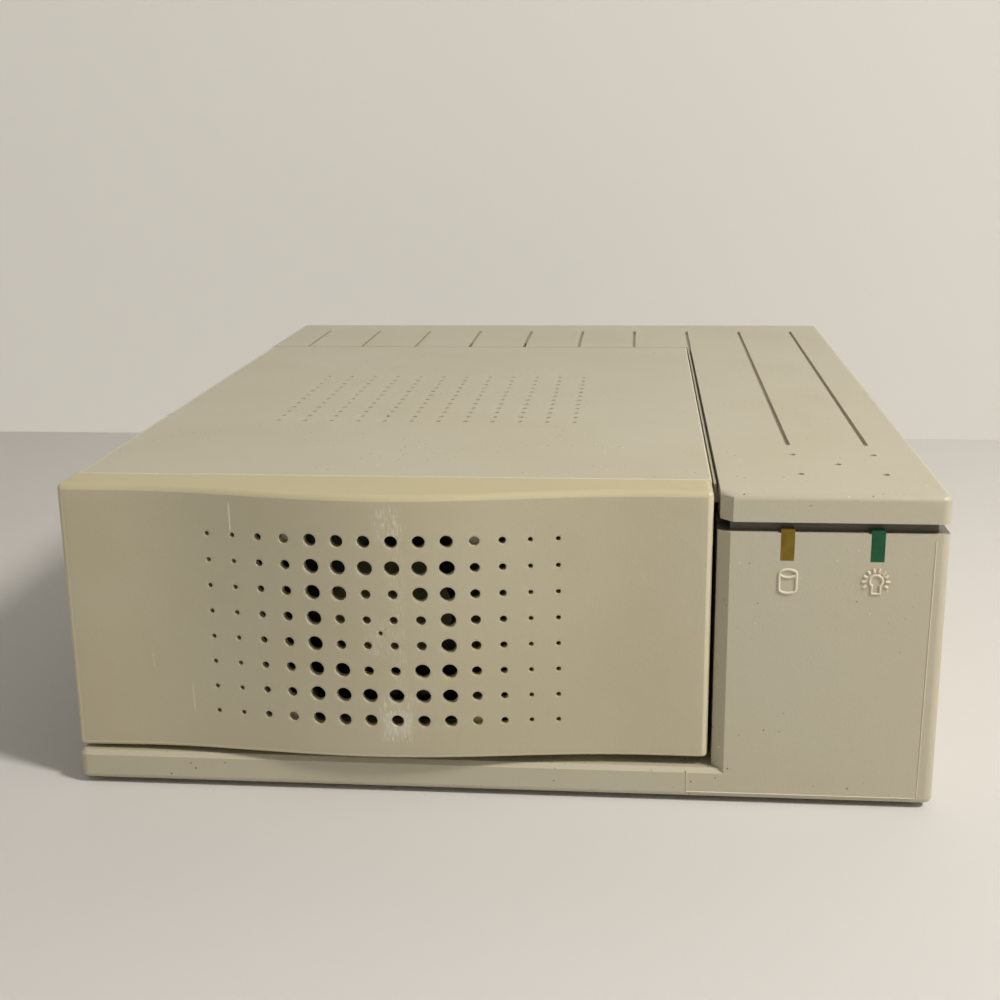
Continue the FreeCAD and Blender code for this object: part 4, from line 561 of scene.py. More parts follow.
FINISHES: tuple[Finish, ...] = (
    Moulded("case_plastic", CASE_CREAM, CASE_AGED, 0.40, dust=0.9, reveal_shade=0.85),
    Moulded("bezel_plastic", BEZEL_CREAM, BEZEL_AGED, 0.46, ageing=0.7, sunned=0.75, scuffs=BEZEL_SCUFFS),
    Moulded("rubber", Tint(38, 37, 36), Tint(60, 57, 52), 0.82, Grain.RUBBER),
    Moulded("black_plastic", Tint(30, 30, 31), Tint(46, 45, 43), 0.46, Grain.SPARK),
    Moulded("fan_plastic", Tint(134, 128, 84), Tint(104, 98, 62), 0.44, Grain.SATIN),
    Moulded("rocker_plastic", Tint(24, 24, 25), Tint(40, 39, 38), 0.34, Grain.SATIN),
    Moulded("wheel_plastic", Tint(226, 224, 214), Tint(208, 203, 186), 0.40, Grain.SATIN),
    Moulded("button_plastic", Tint(52, 53, 56), Tint(72, 71, 70), 0.40, Grain.SATIN),
    Moulded("capacitor_sleeve", Tint(34, 42, 74), Tint(26, 30, 52), 0.32, Grain.SLEEVE),
    Moulded("connector_body", Tint(46, 47, 50), Tint(62, 62, 62), 0.48, Grain.SATIN),
    Moulded("lead_vinyl", Tint(150, 32, 28), Tint(116, 26, 24), 0.42, Grain.SATIN),
    Moulded("led_resin", Tint(214, 206, 176), Tint(190, 180, 140), 0.20, Grain.SATIN),
    Metal("cast_metal", Tint(148, 150, 152), 0.46, Lay.CAST),
    Metal("bright_sheet", Tint(196, 198, 200), 0.28, Lay.BRUSHED_X),
    Metal("turned_metal", Tint(206, 206, 204), 0.22, Lay.TURNED),
    Metal("platter_metal", Tint(168, 158, 144), 0.10, Lay.TURNED, dulled=0.05),
    Metal("magnet_steel", Tint(126, 128, 132), 0.38, Lay.TURNED),
    Metal("zinc_sheet", Tint(178, 180, 180), 0.40, Lay.PLATED),
    Metal("screw_steel", Tint(186, 184, 176), 0.30, Lay.PLATED),
    Metal("transformer_core", Tint(92, 90, 86), 0.56, Lay.LAMINATED, Tint(70, 52, 40), 0.5),
    Metal("sink_metal", Tint(66, 67, 70), 0.42, Lay.BRUSHED_Z),
    Metal("wire_steel", Tint(204, 204, 202), 0.24, Lay.TURNED),
    Metal("pin_metal", Tint(202, 196, 176), 0.26, Lay.PLATED),
    Board("circuit_board", Tint(24, 74, 44), Tint(60, 118, 70)),
    Lens("amber_lens", Tint(128, 104, 10), Tint(100, 78, 6)),
    Lens("green_lens", Tint(8, 88, 50), Tint(6, 66, 38)),
    Ribbon("ribbon_vinyl", Tint(176, 174, 166), Tint(150, 148, 140)),
)


class Paintbox:
    """Every finish of the object, made once and handed out by slot."""

    def __init__(self, finishes: Iterable[Finish]) -> None:
        """Build the shader of each finish.

        Args:
            finishes: the finishes to make.
        """
        self.materials: dict[str, bpy.types.Material] = {}
        for finish in finishes:
            self.materials[finish.slot] = finish.network().material

    def paint(self, piece: bpy.types.Object, slot: str) -> None:
        """Give a piece the finish of one slot."""
        piece.data.materials.clear()
        piece.data.materials.append(self.materials[slot])


@dataclass(frozen=True)
class PhotoCamera:
    """The camera, where the photograph was taken from."""

    position: Vector = field(default_factory=lambda: Vector((0.026361, -0.353008, 0.127335)))
    lens: float = 51.507
    sensor: float = 36.0
    yaw: float = math.radians(-5.6105)
    pitch: float = math.radians(15.1505)
    roll: float = math.radians(-0.7362)

    def build(self) -> None:
        """Create the camera and look through it."""
        data = bpy.data.cameras.new("photo_camera")
        data.lens = self.lens
        data.sensor_width = self.sensor
        data.clip_start = 0.01
        camera = bpy.data.objects.new("photo_camera", data)
        bpy.context.scene.collection.objects.link(camera)
        ahead = Vector(
            (
                math.sin(self.yaw) * math.cos(self.pitch),
                math.cos(self.yaw) * math.cos(self.pitch),
                -math.sin(self.pitch),
            )
        )
        right = Vector((math.cos(self.yaw), -math.sin(self.yaw), 0.0))
        above = right.cross(ahead)
        turn_right = right * math.cos(self.roll) + above * math.sin(self.roll)
        turn_above = above * math.cos(self.roll) - right * math.sin(self.roll)
        axes = Matrix((turn_right, turn_above, -ahead)).transposed()
        camera.matrix_world = Matrix.Translation(self.position) @ axes.to_4x4()
        bpy.context.scene.camera = camera


@dataclass(frozen=True)
class SoftLamp:
    """A large soft lamp that looks at one point."""

    name: str
    place: tuple[float, float, float]
    aim: tuple[float, float, float]
    width: float
    power: float
    tint: Tint

    def build(self) -> None:
        """Hang the lamp."""
        data = bpy.data.lights.new(self.name, "AREA")
        data.shape = "DISK"
        data.size = self.width
        data.energy = self.power
        data.color = self.tint.linear()[:3]
        lamp = bpy.data.objects.new(self.name, data)
        lamp.location = self.place
        lamp.rotation_euler = (Vector(self.aim) - Vector(self.place)).to_track_quat("-Z", "Y").to_euler()
        bpy.context.scene.collection.objects.link(lamp)


@dataclass
class Studio:
    """The pale table and wall, and the light on them."""

    table_colour: Tint = Tint(212, 209, 205)
    wall_colour: Tint = Tint(234, 230, 221)
    wall_y: float = 0.215
    half_width: float = 2.4
    half_depth: float = 1.6
    height: float = 2.2
    lamps: tuple[SoftLamp, ...] = (
        SoftLamp("window_right", (0.455, -0.323, 0.540), (-0.05, -0.10, 0.0), 0.13, 4.6, Tint(255, 252, 247)),
        SoftLamp("room_front", (0.30, -1.5, 0.8), (0.0, 0.0, 0.03), 1.4, 1.2, Tint(255, 250, 242)),
    )
    sky: Tint = Tint(200, 199, 197)
    sky_strength: float = 0.47
    wall_glow: Tint = Tint(209, 204, 194)
    wall_share: float = 0.55

    def surface(self, name: str, colour: Tint, grain: float) -> bpy.types.Material:
        """A matt studio surface with a little life in it.

        Args:
            name: name of the material.
            colour: its colour.
            grain: width of its faint clouds, in metres.

        Returns:
            The material.
        """
        net = Network(name)
        cloud = net.noise(grain, 3.0)
        net.feed("Base Color", net.mix(cloud.ramp(0.3, 0.8) * 0.5, colour, colour.scaled(0.965)))
        net.fix("Roughness", 0.72)
        return net.material

    @staticmethod
    def seen_rays(tree: bpy.types.NodeTree) -> bpy.types.NodeSocket:
        """One for the rays that show a thing to the camera, straight, mirrored or through glass.

        Args:
            tree: the node tree to work in.

        Returns:
            The socket that carries it.
        """
        path = tree.nodes.new("ShaderNodeLightPath")
        last = path.outputs["Is Camera Ray"]
        for kind in ("Is Glossy Ray", "Is Transmission Ray"):
            either = tree.nodes.new("ShaderNodeMath")
            either.operation = "MAXIMUM"
            tree.links.new(last, either.inputs[0])
            tree.links.new(path.outputs[kind], either.inputs[1])
            last = either.outputs[0]
        return last

    def lit_wall(self) -> bpy.types.Material:
        """The wall's paint, evened towards one pale tone where it is seen, and clear from behind.

        Returns:
            The material.
        """
        material = self.surface("wall_paint", self.wall_colour, 0.4)
        tree = material.node_tree
        share = tree.nodes.new("ShaderNodeMath")
        share.operation = "MULTIPLY"
        share.inputs[1].default_value = self.wall_share
        glow = tree.nodes.new("ShaderNodeEmission")
        glow.inputs[0].default_value = self.wall_glow.linear()
        blend = tree.nodes.new("ShaderNodeMixShader")
        tree.links.new(self.seen_rays(tree), share.inputs[0])
        tree.links.new(share.outputs[0], blend.inputs[0])
        end = next(node for node in tree.nodes if node.type == "OUTPUT_MATERIAL")
        tree.links.new(end.inputs["Surface"].links[0].from_socket, blend.inputs[1])
        tree.links.new(glow.outputs[0], blend.inputs[2])
        side = tree.nodes.new("ShaderNodeNewGeometry")
        clear = tree.nodes.new("ShaderNodeBsdfTransparent")
        faced = tree.nodes.new("ShaderNodeMixShader")
        tree.links.new(side.outputs["Backfacing"], faced.inputs[0])
        tree.links.new(blend.outputs[0], faced.inputs[1])
        tree.links.new(clear.outputs[0], faced.inputs[2])
        tree.links.new(faced.outputs[0], end.inputs["Surface"])
        return material

    def build(self) -> None:
        """Lay the table, raise the wall, hang the lamps and set the room's light."""
        paint = self.surface("table_paint", self.table_colour, 0.25)
        table = self.plane("studio_table", (self.half_width, self.half_depth, 1.0), Matrix.Identity(4), paint)
        raised = Matrix.Translation((0.0, self.wall_y, 0.0)) @ Matrix.Rotation(math.radians(90.0), 4, "X")
        wall = self.plane("studio_wall", (self.half_width, self.height, 1.0), raised, self.lit_wall())
        for lamp in self.lamps:
            lamp.build()
        world = bpy.data.worlds.new("studio_air")
        bpy.context.scene.world = world
        world.use_nodes = True
        ground = world.node_tree.nodes["Background"]
        ground.inputs[0].default_value = self.sky.linear()
        ground.inputs[1].default_value = self.sky_strength
        tree = world.node_tree
        far = tree.nodes.new("ShaderNodeBackground")
        far.inputs[0].default_value = self.wall_glow.linear()
        blend = tree.nodes.new("ShaderNodeMixShader")
        end = next(node for node in tree.nodes if node.type == "OUTPUT_WORLD")
        tree.links.new(self.seen_rays(tree), blend.inputs[0])
        tree.links.new(ground.outputs[0], blend.inputs[1])
        tree.links.new(far.outputs[0], blend.inputs[2])
        tree.links.new(blend.outputs[0], end.inputs["Surface"])
        log.info("studio built")

    def plane(
        self, name: str, size: tuple[float, float, float], turn: Matrix, paint: bpy.types.Material
    ) -> bpy.types.Object:
        """A flat sheet of the studio.

        Args:
            name: name of the object.
            size: its half sizes.
            turn: where it stands.
            paint: its material.

        Returns:
            The object.
        """
        sheet = bmesh.new()
        bmesh.ops.create_grid(sheet, x_segments=2, y_segments=2, size=1.0)
        bmesh.ops.scale(sheet, vec=size, verts=sheet.verts)
        bmesh.ops.transform(sheet, matrix=turn, verts=sheet.verts)
        made = Workshop.finished(sheet, name)
        made.data.materials.append(paint)
        return made


class Workshop:
    """Steps that every class uses to make and mend a mesh."""

    SHARP = math.radians(38.0)
    COLLAR = 0.45 * MM

    @staticmethod
    def finished(shape: bmesh.types.BMesh, name: str) -> bpy.types.Object:
        """Turn a bmesh into an object at the origin, smooth but for its sharp edges.

        Args:
            shape: the bmesh, which is freed.
            name: name of the new object.

        Returns:
            The object.
        """
        for face in shape.faces:
            face.smooth = True
        for edge in shape.edges:
            edge.smooth = edge.calc_face_angle(0.0) < Workshop.SHARP
        mesh = bpy.data.meshes.new(name)
        shape.to_mesh(mesh)
        shape.free()
        piece = bpy.data.objects.new(name, mesh)
        bpy.context.scene.collection.objects.link(piece)
        return piece

    @staticmethod
    def evened(piece: bpy.types.Object) -> bpy.types.Object:
        """Let the large flat faces of a piece lead its shading."""
        weighing = piece.modifiers.new("even_shading", "WEIGHTED_NORMAL")
        weighing.keep_sharp = True
        weighing.weight = 80
        return piece

    @staticmethod
    def bevelled(
        shape: bmesh.types.BMesh,
        edges: Sequence[bmesh.types.BMEdge],
        radius: float,
        steps: int,
        abrasion_and_highlight_level: float = 1.0,
    ) -> None:
        """Round some edges and set how far the new skin is lightened in colour, for abraded edges and for the
        painted highlight on the bezel's hole rims.

        Args:
            shape: the bmesh.
            edges: the edges to round.
            radius: width of the rounding, in metres.
            steps: number of facets across it.
            abrasion_and_highlight_level: how far the new skin is lightened, as abrasion and as painted
                highlight.
        """
        abrasion_and_highlight = shape.faces.layers.float.get(WEAR_AND_HIGHLIGHT) or shape.faces.layers.float.new(WEAR_AND_HIGHLIGHT)
        made = bmesh.ops.bevel(
            shape,
            geom=list(edges),
            offset=radius,
            offset_type="OFFSET",
            affect="EDGES",
            segments=steps,
            profile=0.5,
            material=-1,
            clamp_overlap=True,
        )
        for face in made["faces"]:
            face[abrasion_and_highlight] = abrasion_and_highlight_level

    @staticmethod
    def softened(
        node: bpy.types.Object, name: str, radius: float, steps: int = 2, least: float = 0.9 * MM
    ) -> bpy.types.Object:
        """A copy of a frame piece with its outer edges broken.

        Args:
            node: the piece of the frame.
            name: name of the copy.
            radius: width of the broken edge, in metres.
            steps: number of facets across it.
            least: edges shorter than this stay as they are.

        Returns:
            The copy.
        """
        shape = bmesh.new()
        shape.from_mesh(node.data)
        bmesh.ops.remove_doubles(shape, verts=shape.verts, dist=0.004 * MM)
        bmesh.ops.dissolve_limit(
            shape,
            angle_limit=math.radians(0.6),
            verts=shape.verts,
            edges=shape.edges,
            use_dissolve_boundaries=False,
        )
        turned = [
            edge
            for edge in shape.edges
            if edge.calc_face_angle_signed(0.0) > math.radians(30.0) and edge.calc_length() > least
        ]
        Workshop.bevelled(shape, turned, radius, steps)
        return Workshop.evened(Workshop.finished(shape, name))

    @staticmethod
    def swept(
        points: Sequence[Vector], radius: float, sides: int = 8, ring: bool = False
    ) -> bmesh.types.BMesh:
        """A round bead or wire along a line of points.

        Args:
            points: the stops of its centre line.
            radius: its radius, in metres.
            sides: facets around it.
            ring: whether the last stop joins the first.

        Returns:
            The bmesh, closed.
        """
        shape = bmesh.new()
        bmesh.ops.create_circle(shape, cap_ends=False, segments=sides, radius=radius)
        stops = list(points)
        count = len(stops)
        loop = list(shape.edges)
        first = loop
        here = Matrix.Identity(4)
        for number, stop in enumerate(stops):
            before = stops[number - 1] if number or ring else stop
            after = stops[(number + 1) % count] if number + 1 < count or ring else stop
            along = (after - before).normalized()
            turn = here.to_3x3().col[2].rotation_difference(along).to_matrix() @ here.to_3x3()
            there = Matrix.Translation(stop) @ turn.to_4x4()
            if number:
                made = bmesh.ops.extrude_edge_only(shape, edges=loop)["geom"]
                loop = [item for item in made if isinstance(item, bmesh.types.BMEdge) and item.is_boundary]
            moved = list({vert for edge in loop for vert in edge.verts})
            bmesh.ops.transform(shape, matrix=there @ here.inverted(), verts=moved)
            here = there
        if ring:
            bmesh.ops.bridge_loops(shape, edges=first + loop)
        else:
            bmesh.ops.holes_fill(shape, edges=first + loop, sides=sides)
        bmesh.ops.recalc_face_normals(shape, faces=shape.faces)
        return shape

    @staticmethod
    def joined(shapes: Sequence[bmesh.types.BMesh]) -> bmesh.types.BMesh:
        """Put several meshes in one, and free them.

        Args:
            shapes: the meshes.

        Returns:
            The mesh that holds them all.
        """
        whole = bmesh.new()
        for shape in shapes:
            part = bpy.data.meshes.new("part")
            shape.to_mesh(part)
            shape.free()
            whole.from_mesh(part)
            bpy.data.meshes.remove(part)
        return whole

    @staticmethod
    def perforated(
        lines_u: Sequence[float],
        lines_v: Sequence[float],
        holes: Sequence[tuple[float, float, float]],
        sides: int,
    ) -> bmesh.types.BMesh:
        """A flat sheet in u and v, cut along lines, with a round hole in some of its cells.

        Args:
            lines_u: where it is divided across, with its two ends.
            lines_v: where it is divided upwards, with its two ends.
            holes: the centre and diameter of each hole, at the middle of a cell.
            sides: facets around each hole, a multiple of four.

        Returns:
            The bmesh, in the plane of x and y.
        """
        sheet = bmesh.new()
        bmesh.ops.create_grid(sheet, x_segments=1, y_segments=1, size=0.5)
        span = Vector((lines_u[-1] - lines_u[0], lines_v[-1] - lines_v[0], 1.0))
        bmesh.ops.scale(sheet, vec=span, verts=sheet.verts)
        middle = Vector(((lines_u[0] + lines_u[-1]) / 2, (lines_v[0] + lines_v[-1]) / 2, 0.0))
        bmesh.ops.translate(sheet, vec=middle, verts=sheet.verts)
        for direction, lines in ((Vector((1, 0, 0)), lines_u[1:-1]), (Vector((0, 1, 0)), lines_v[1:-1])):
            for line in lines:
                everything = sheet.verts[:] + sheet.edges[:] + sheet.faces[:]
                bmesh.ops.bisect_plane(sheet, geom=everything, plane_co=direction * line, plane_no=direction)
        centres = [(face.calc_center_bounds(), face) for face in sheet.faces]
        cells = []
        for u, v, width in holes:
            _, face = min(centres, key=lambda pair: (pair[0].x - u) ** 2 + (pair[0].y - v) ** 2)
            cells.append((face, u, v, width))
        shared = list({edge for face, _, _, _ in cells for edge in face.edges})
        bmesh.ops.bisect_edges(sheet, edges=shared, cuts=sides // 4 - 1)
        inner = [face for face, _, _, _ in cells]
        for collar in (Workshop.COLLAR, 0.0):
            bmesh.ops.inset_individual(sheet, faces=inner, thickness=0.1 * MM, use_even_offset=True)
            for face, u, v, width in cells:
                for vert in face.verts:
                    vert.co = Workshop.on_circle(Vector((u, v, 0.0)), vert.co, width / 2 + collar)
        bmesh.ops.delete(sheet, geom=inner, context="FACES_ONLY")
        bmesh.ops.recalc_face_normals(sheet, faces=sheet.faces)
        return sheet

    @staticmethod
    def on_circle(centre: Vector, corner: Vector, radius: float) -> Vector:
        """The place on a circle of a corner on the square around it, in even steps.

        Args:
            centre: the middle of both.
            corner: a place on the square.
            radius: half the circle's width.

        Returns:
            The place on the circle.
        """
        across, up = corner.x - centre.x, corner.y - centre.y
        if abs(across) >= abs(up):
            swing = up / abs(across) * math.pi / 4
            return centre + radius * Vector((math.copysign(math.cos(swing), across), math.sin(swing), 0.0))
        swing = across / abs(up) * math.pi / 4
        return centre + radius * Vector((math.sin(swing), math.copysign(math.cos(swing), up), 0.0))

    @staticmethod
    def along(edge: bmesh.types.BMEdge, axis: int, limit: float) -> bool:
        """Whether both ends of an edge lie at one place of an axis."""
        return all(abs(vert.co[axis] - limit) < TOUCH for vert in edge.verts)

    @staticmethod
    def drawn(shape: bmesh.types.BMesh, edges: Sequence[bmesh.types.BMEdge]) -> list[bmesh.types.BMVert]:
        """Draw a wall out of some edges.

        Args:
            shape: the bmesh.
            edges: the edges it starts from.

        Returns:
            The corners of its far side, still in place.
        """
        made = bmesh.ops.extrude_edge_only(shape, edges=edges)["geom"]
        return [item for item in made if isinstance(item, bmesh.types.BMVert)]

    @staticmethod
    def spaced(start: float, end: float, most: float) -> list[float]:
        """Even lines from start to end, no further apart than most."""
        count = max(1, math.ceil((end - start) / most))
        return [start + (end - start) * step / count for step in range(count + 1)]


@dataclass
class FrontPanel:
    """The bowed bezel of the bay with its graded field of round holes."""

    left: float = -82.5 * MM
    right: float = 40.5 * MM
    foot: float = 7.5 * MM
    top: float = 60.9 * MM
    plane_y: float = -101.4 * MM
    seam_y: float = -92.9 * MM
    centre_x: float = -21.0 * MM
    field_x: float = -20.5 * MM
    field_z: float = 34.2 * MM
    bow_half: float = 50.0 * MM
    bow_top: float = 6.0 * MM
    bow_foot: float = 3.7 * MM
    wall: float = 1.5 * MM
    post_radius: float = 2.3 * MM
    post_step: float = 3.5
    post_short: float = 0.6 * MM
    post_gap: float = 0.25 * MM
    edge_radius: float = 1.1 * MM
    rim_radius: float = 0.16 * MM
    rim_depth: float = 5.0 * MM
    # Lightening of the hole rims' skin, a painted highlight.
    rim_highlight: float = 0.6
    seam_radius: float = 0.40 * MM
    skew: float = 1.1 * MM
    skew_reach: float = 4.0 * MM
    pitch_x: float = 5.06 * MM
    pitch_z: float = 5.12 * MM
    columns: int = 14
    rows: int = 8
    pin: float = 1.3 * MM
    step_x: float = 2.6 * MM
    step_z: float = 4.0 * MM
    hole_sides: int = 24

    def hole_width(self, across: float, up: float) -> float:
        """Diameter of a hole, by its steps from the middle of the field.

        Args:
            across: steps to the side.
            up: steps up or down.

        Returns:
            The diameter in metres.
        """
        across, up = abs(across), abs(up)
        for least, width in ((6, 0.92), (5, 0.92), (4, 1.38), (3, 1.9)):
            if across > least:
                return width * MM
        if up > 3:
            return 2.45 * MM
        if up > 2 or across > 2 or (up > 1 and across > 1):
            return 2.95 * MM
        return (1.9 if up > 1 or across > 1 else 1.6) * MM

    def swell(self, x: float, z: float) -> float:
        """How far the face stands forward of its plane at a point.

        Args:
            x: place across.
            z: height.

        Returns:
            The swell in metres.
        """
        share = (x - self.centre_x) / self.bow_half
        if abs(share) >= 1.0:
            return 0.0
        rise = (z - self.foot) / (self.top - self.foot)
        depth = self.bow_foot + (self.bow_top - self.bow_foot) * rise
        return depth * (1.0 + math.cos(math.pi * share)) / 2.0

    def field(self) -> tuple[list[float], list[float], list[tuple[float, float, float]]]:
        """The lines that divide the face, and its holes.

        Returns:
            Lines across, lines up, and the centre and width of each hole.
        """
        first_x = self.field_x - self.columns / 2 * self.pitch_x
        first_z = self.field_z - self.rows / 2 * self.pitch_z
        cells_x = [first_x + step * self.pitch_x for step in range(self.columns + 1)]
        cells_z = [first_z + step * self.pitch_z for step in range(self.rows + 1)]
        lines_x = Workshop.spaced(self.left, first_x, self.step_x) + cells_x[1:]
        lines_x += Workshop.spaced(cells_x[-1], self.right, self.step_x)[1:]
        lines_z = Workshop.spaced(self.foot, first_z, self.step_z) + cells_z[1:]
        lines_z += Workshop.spaced(cells_z[-1], self.top, self.step_z)[1:]
        holes = []
        for column in range(self.columns):
            for row in range(self.rows):
                across, up = column - (self.columns - 1) / 2, row - (self.rows - 1) / 2
                place = (self.field_x + across * self.pitch_x, self.field_z + up * self.pitch_z)
                holes.append((*place, self.hole_width(across, up)))
        return lines_x, lines_z, holes

    def build(self, paintbox: Paintbox) -> bpy.types.Object:
        """Model and finish the bezel.

        Args:
            paintbox: the finishes.

        Returns:
            The bezel.
        """
        shape = Workshop.perforated(*self.field(), self.hole_sides)
        middle = Vector((self.field_x, self.field_z, 0.0))
        crossing = min(shape.verts, key=lambda vert: (vert.co - middle).length)
        pinned = bmesh.ops.bevel(
            shape,
            geom=[crossing],
            offset=self.pin / 2,
            affect="VERTICES",
            segments=3,
            profile=0.5,
            material=-1,
        )
        bmesh.ops.delete(shape, geom=pinned["faces"], context="FACES_ONLY")
        upright = Matrix.Rotation(math.pi / 2, 3, "X")
        bmesh.ops.rotate(shape, cent=(0, 0, 0), matrix=upright, verts=shape.verts)
        for vert in shape.verts:
            vert.co.y = self.plane_y - self.swell(vert.co.x, vert.co.z)
        outer = [edge for edge in shape.edges if edge.is_boundary and self.on_rim(edge)]
        for vert in Workshop.drawn(shape, outer):
            vert.co.y = self.seam_y
        bmesh.ops.recalc_face_normals(shape, faces=shape.faces)
        folds = [edge for edge in shape.edges if edge.calc_face_angle(0.0) > FOLD]
        Workshop.bevelled(shape, folds, self.edge_radius, 4)
        bmesh.ops.solidify(shape, geom=shape.faces[:], thickness=self.wall)
        bmesh.ops.recalc_face_normals(shape, faces=shape.faces)
        seam = [edge for edge in shape.edges if self.on_rim(edge) and Workshop.along(edge, 1, self.seam_y)]
        Workshop.bevelled(shape, seam, self.seam_radius, 2)
        rims = [
            edge
            for edge in shape.edges
            if edge.calc_face_angle_signed(0.0) > FOLD and edge.verts[0].co.y < self.seam_y - self.rim_depth
        ]
        # Painted highlight: the rounded hole rims are lightened in colour.
        Workshop.bevelled(shape, rims, self.rim_radius, 2, self.rim_highlight)
        self.lift_foot(shape)
        panel = Workshop.evened(Workshop.finished(shape, "front_panel_shell"))
        paintbox.paint(panel, "bezel_plastic")
        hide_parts("front_panel")
        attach(panel, "front_panel")
        self.posts(paintbox)
        log.info("front panel built, %d faces", len(panel.data.polygons))
        return panel

    def lift_foot(self, shape: bmesh.types.BMesh) -> None:
        """Let the foot rise a little towards the right."""
        for vert in shape.verts:
            lean = max(0.0, 1.0 - (vert.co.z - self.foot) / self.skew_reach)
            share = (vert.co.x - self.left) / (self.right - self.left)
            vert.co.z += self.skew * lean * math.sin(share * math.pi / 2)

    def posts(self, paintbox: Paintbox) -> bpy.types.Object:
        """The four pale stubs that stand behind the corner holes of the field.

        Args:
            paintbox: the finishes.

        Returns:
            The stubs as one piece.
        """
        stubs = []
        for across in (-self.post_step, self.post_step):
            for up in (-self.post_step, self.post_step):
                x, z = self.field_x + across * self.pitch_x, self.field_z + up * self.pitch_z
                front = self.plane_y - self.swell(x, z) + self.wall + self.post_gap
                stops = [Vector((x, front, z)), Vector((x, self.seam_y - self.post_short, z))]
                stubs.append(Workshop.swept(stops, self.post_radius, 16))
        piece = Workshop.finished(Workshop.joined(stubs), "panel_stubs")
        paintbox.paint(piece, "bezel_plastic")
        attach(piece, "front_panel")
        return piece

    def on_rim(self, edge: bmesh.types.BMEdge) -> bool:
        """Whether an edge lies on the outline of the face."""
        sides = ((0, self.left), (0, self.right), (2, self.foot), (2, self.top))
        return any(Workshop.along(edge, axis, limit) for axis, limit in sides)


@dataclass
class BayCover:
    """The cover of the bay: its top with a field of small holes, and its left side."""

    left: float = -82.5 * MM
    right: float = 40.5 * MM
    front: float = -92.6 * MM
    back: float = 62.4 * MM
    foot: float = 7.2 * MM
    top: float = 60.9 * MM
    wall: float = 2.4 * MM
    shoulder: float = 1.6 * MM
    edge_radius: float = 0.45 * MM
    rim_radius: float = 0.10 * MM
    columns: int = 12
    rows: int = 12
    pitch_x: float = 6.08 * MM
    pitch_y: float = 5.0 * MM
    centre_x: float = -21.0 * MM
    first_y: float = -42.2 * MM
    hole: float = 1.4 * MM
    hole_sides: int = 12
    clear: float = 5.0 * MM

    def build(self, paintbox: Paintbox) -> bpy.types.Object:
        """Model and finish the cover.

        Args:
            paintbox: the finishes.

        Returns:
            The cover.
        """
        first_x = self.centre_x - self.columns / 2 * self.pitch_x
        start_y = self.first_y - self.pitch_y / 2
        cells_x = [first_x + step * self.pitch_x for step in range(self.columns + 1)]
        cells_y = [start_y + step * self.pitch_y for step in range(self.rows + 1)]
        holes = [
            (first_x + (column + 0.5) * self.pitch_x, self.first_y + row * self.pitch_y, self.hole)
            for column in range(self.columns)
            for row in range(self.rows)
        ]
        shape = Workshop.perforated(
            [self.left, *cells_x, self.right], [self.front, *cells_y, self.back], holes, self.hole_sides
        )
        bmesh.ops.translate(shape, vec=(0, 0, self.top), verts=shape.verts)
        side = [edge for edge in shape.edges if Workshop.along(edge, 0, self.left)]
        fall = (0, 0, self.foot - self.top)
        bmesh.ops.translate(shape, vec=fall, verts=Workshop.drawn(shape, side))
        bmesh.ops.recalc_face_normals(shape, faces=shape.faces)
        if sum(face.normal.z * face.calc_area() for face in shape.faces) < 0.0:
            bmesh.ops.reverse_faces(shape, faces=shape.faces)
        bmesh.ops.solidify(shape, geom=shape.faces[:], thickness=self.wall)
        bmesh.ops.recalc_face_normals(shape, faces=shape.faces)
        fold = [edge for edge in shape.edges if self.at_shoulder(edge)]
        Workshop.bevelled(shape, fold, self.shoulder, 5)
        rims = [edge for edge in shape.edges if self.in_field(edge)]
        Workshop.bevelled(shape, rims, self.rim_radius, 1, 0.0)
        ends = [
            edge
            for edge in shape.edges
            if edge.calc_face_angle_signed(0.0) > math.radians(60.0) and not self.in_field(edge)
        ]
        Workshop.bevelled(shape, ends, self.edge_radius, 2)
        cover = Workshop.evened(Workshop.finished(shape, "bay_cover_shell"))
        paintbox.paint(cover, "case_plastic")
        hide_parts("bay_cover")
        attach(cover, "bay_cover")
        log.info("bay cover built, %d faces", len(cover.data.polygons))
        return cover

    def at_shoulder(self, edge: bmesh.types.BMEdge) -> bool:
        """Whether an edge is the long outer corner of the cover."""
        return Workshop.along(edge, 0, self.left) and Workshop.along(edge, 2, self.top)

    def in_field(self, edge: bmesh.types.BMEdge) -> bool:
        """Whether an edge is the upper rim of a vent hole."""
        inside = self.left + self.clear < edge.verts[0].co.x < self.right - self.clear
        along = self.front + self.clear < edge.verts[0].co.y < self.back - self.clear
        steep = edge.calc_face_angle(0.0) > FOLD
        return inside and along and steep and edge.verts[0].co.z > self.top - 0.05 * MM


@dataclass
class CaseShells:
    """The base with its column and the top housing, with every outer edge broken as it is moulded."""

    edge_radius: float = 0.30 * MM

    def build(self, nodes: Mapping[str, bpy.types.Object], paintbox: Paintbox) -> list[bpy.types.Object]:
        """Copy, soften and finish both shells.

        Args:
            nodes: the pieces of the frame.
            paintbox: the finishes.

        Returns:
            Both shells.
        """
        made = []
        for name in ("base_chassis", "top_housing"):
            shell = Workshop.softened(nodes[name], f"{name}_shell", self.edge_radius)
            paintbox.paint(shell, "case_plastic")
            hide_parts(name)
            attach(shell, "case")
            log.info("%s softened, %d faces", name, len(shell.data.polygons))
            made.append(shell)
        return made


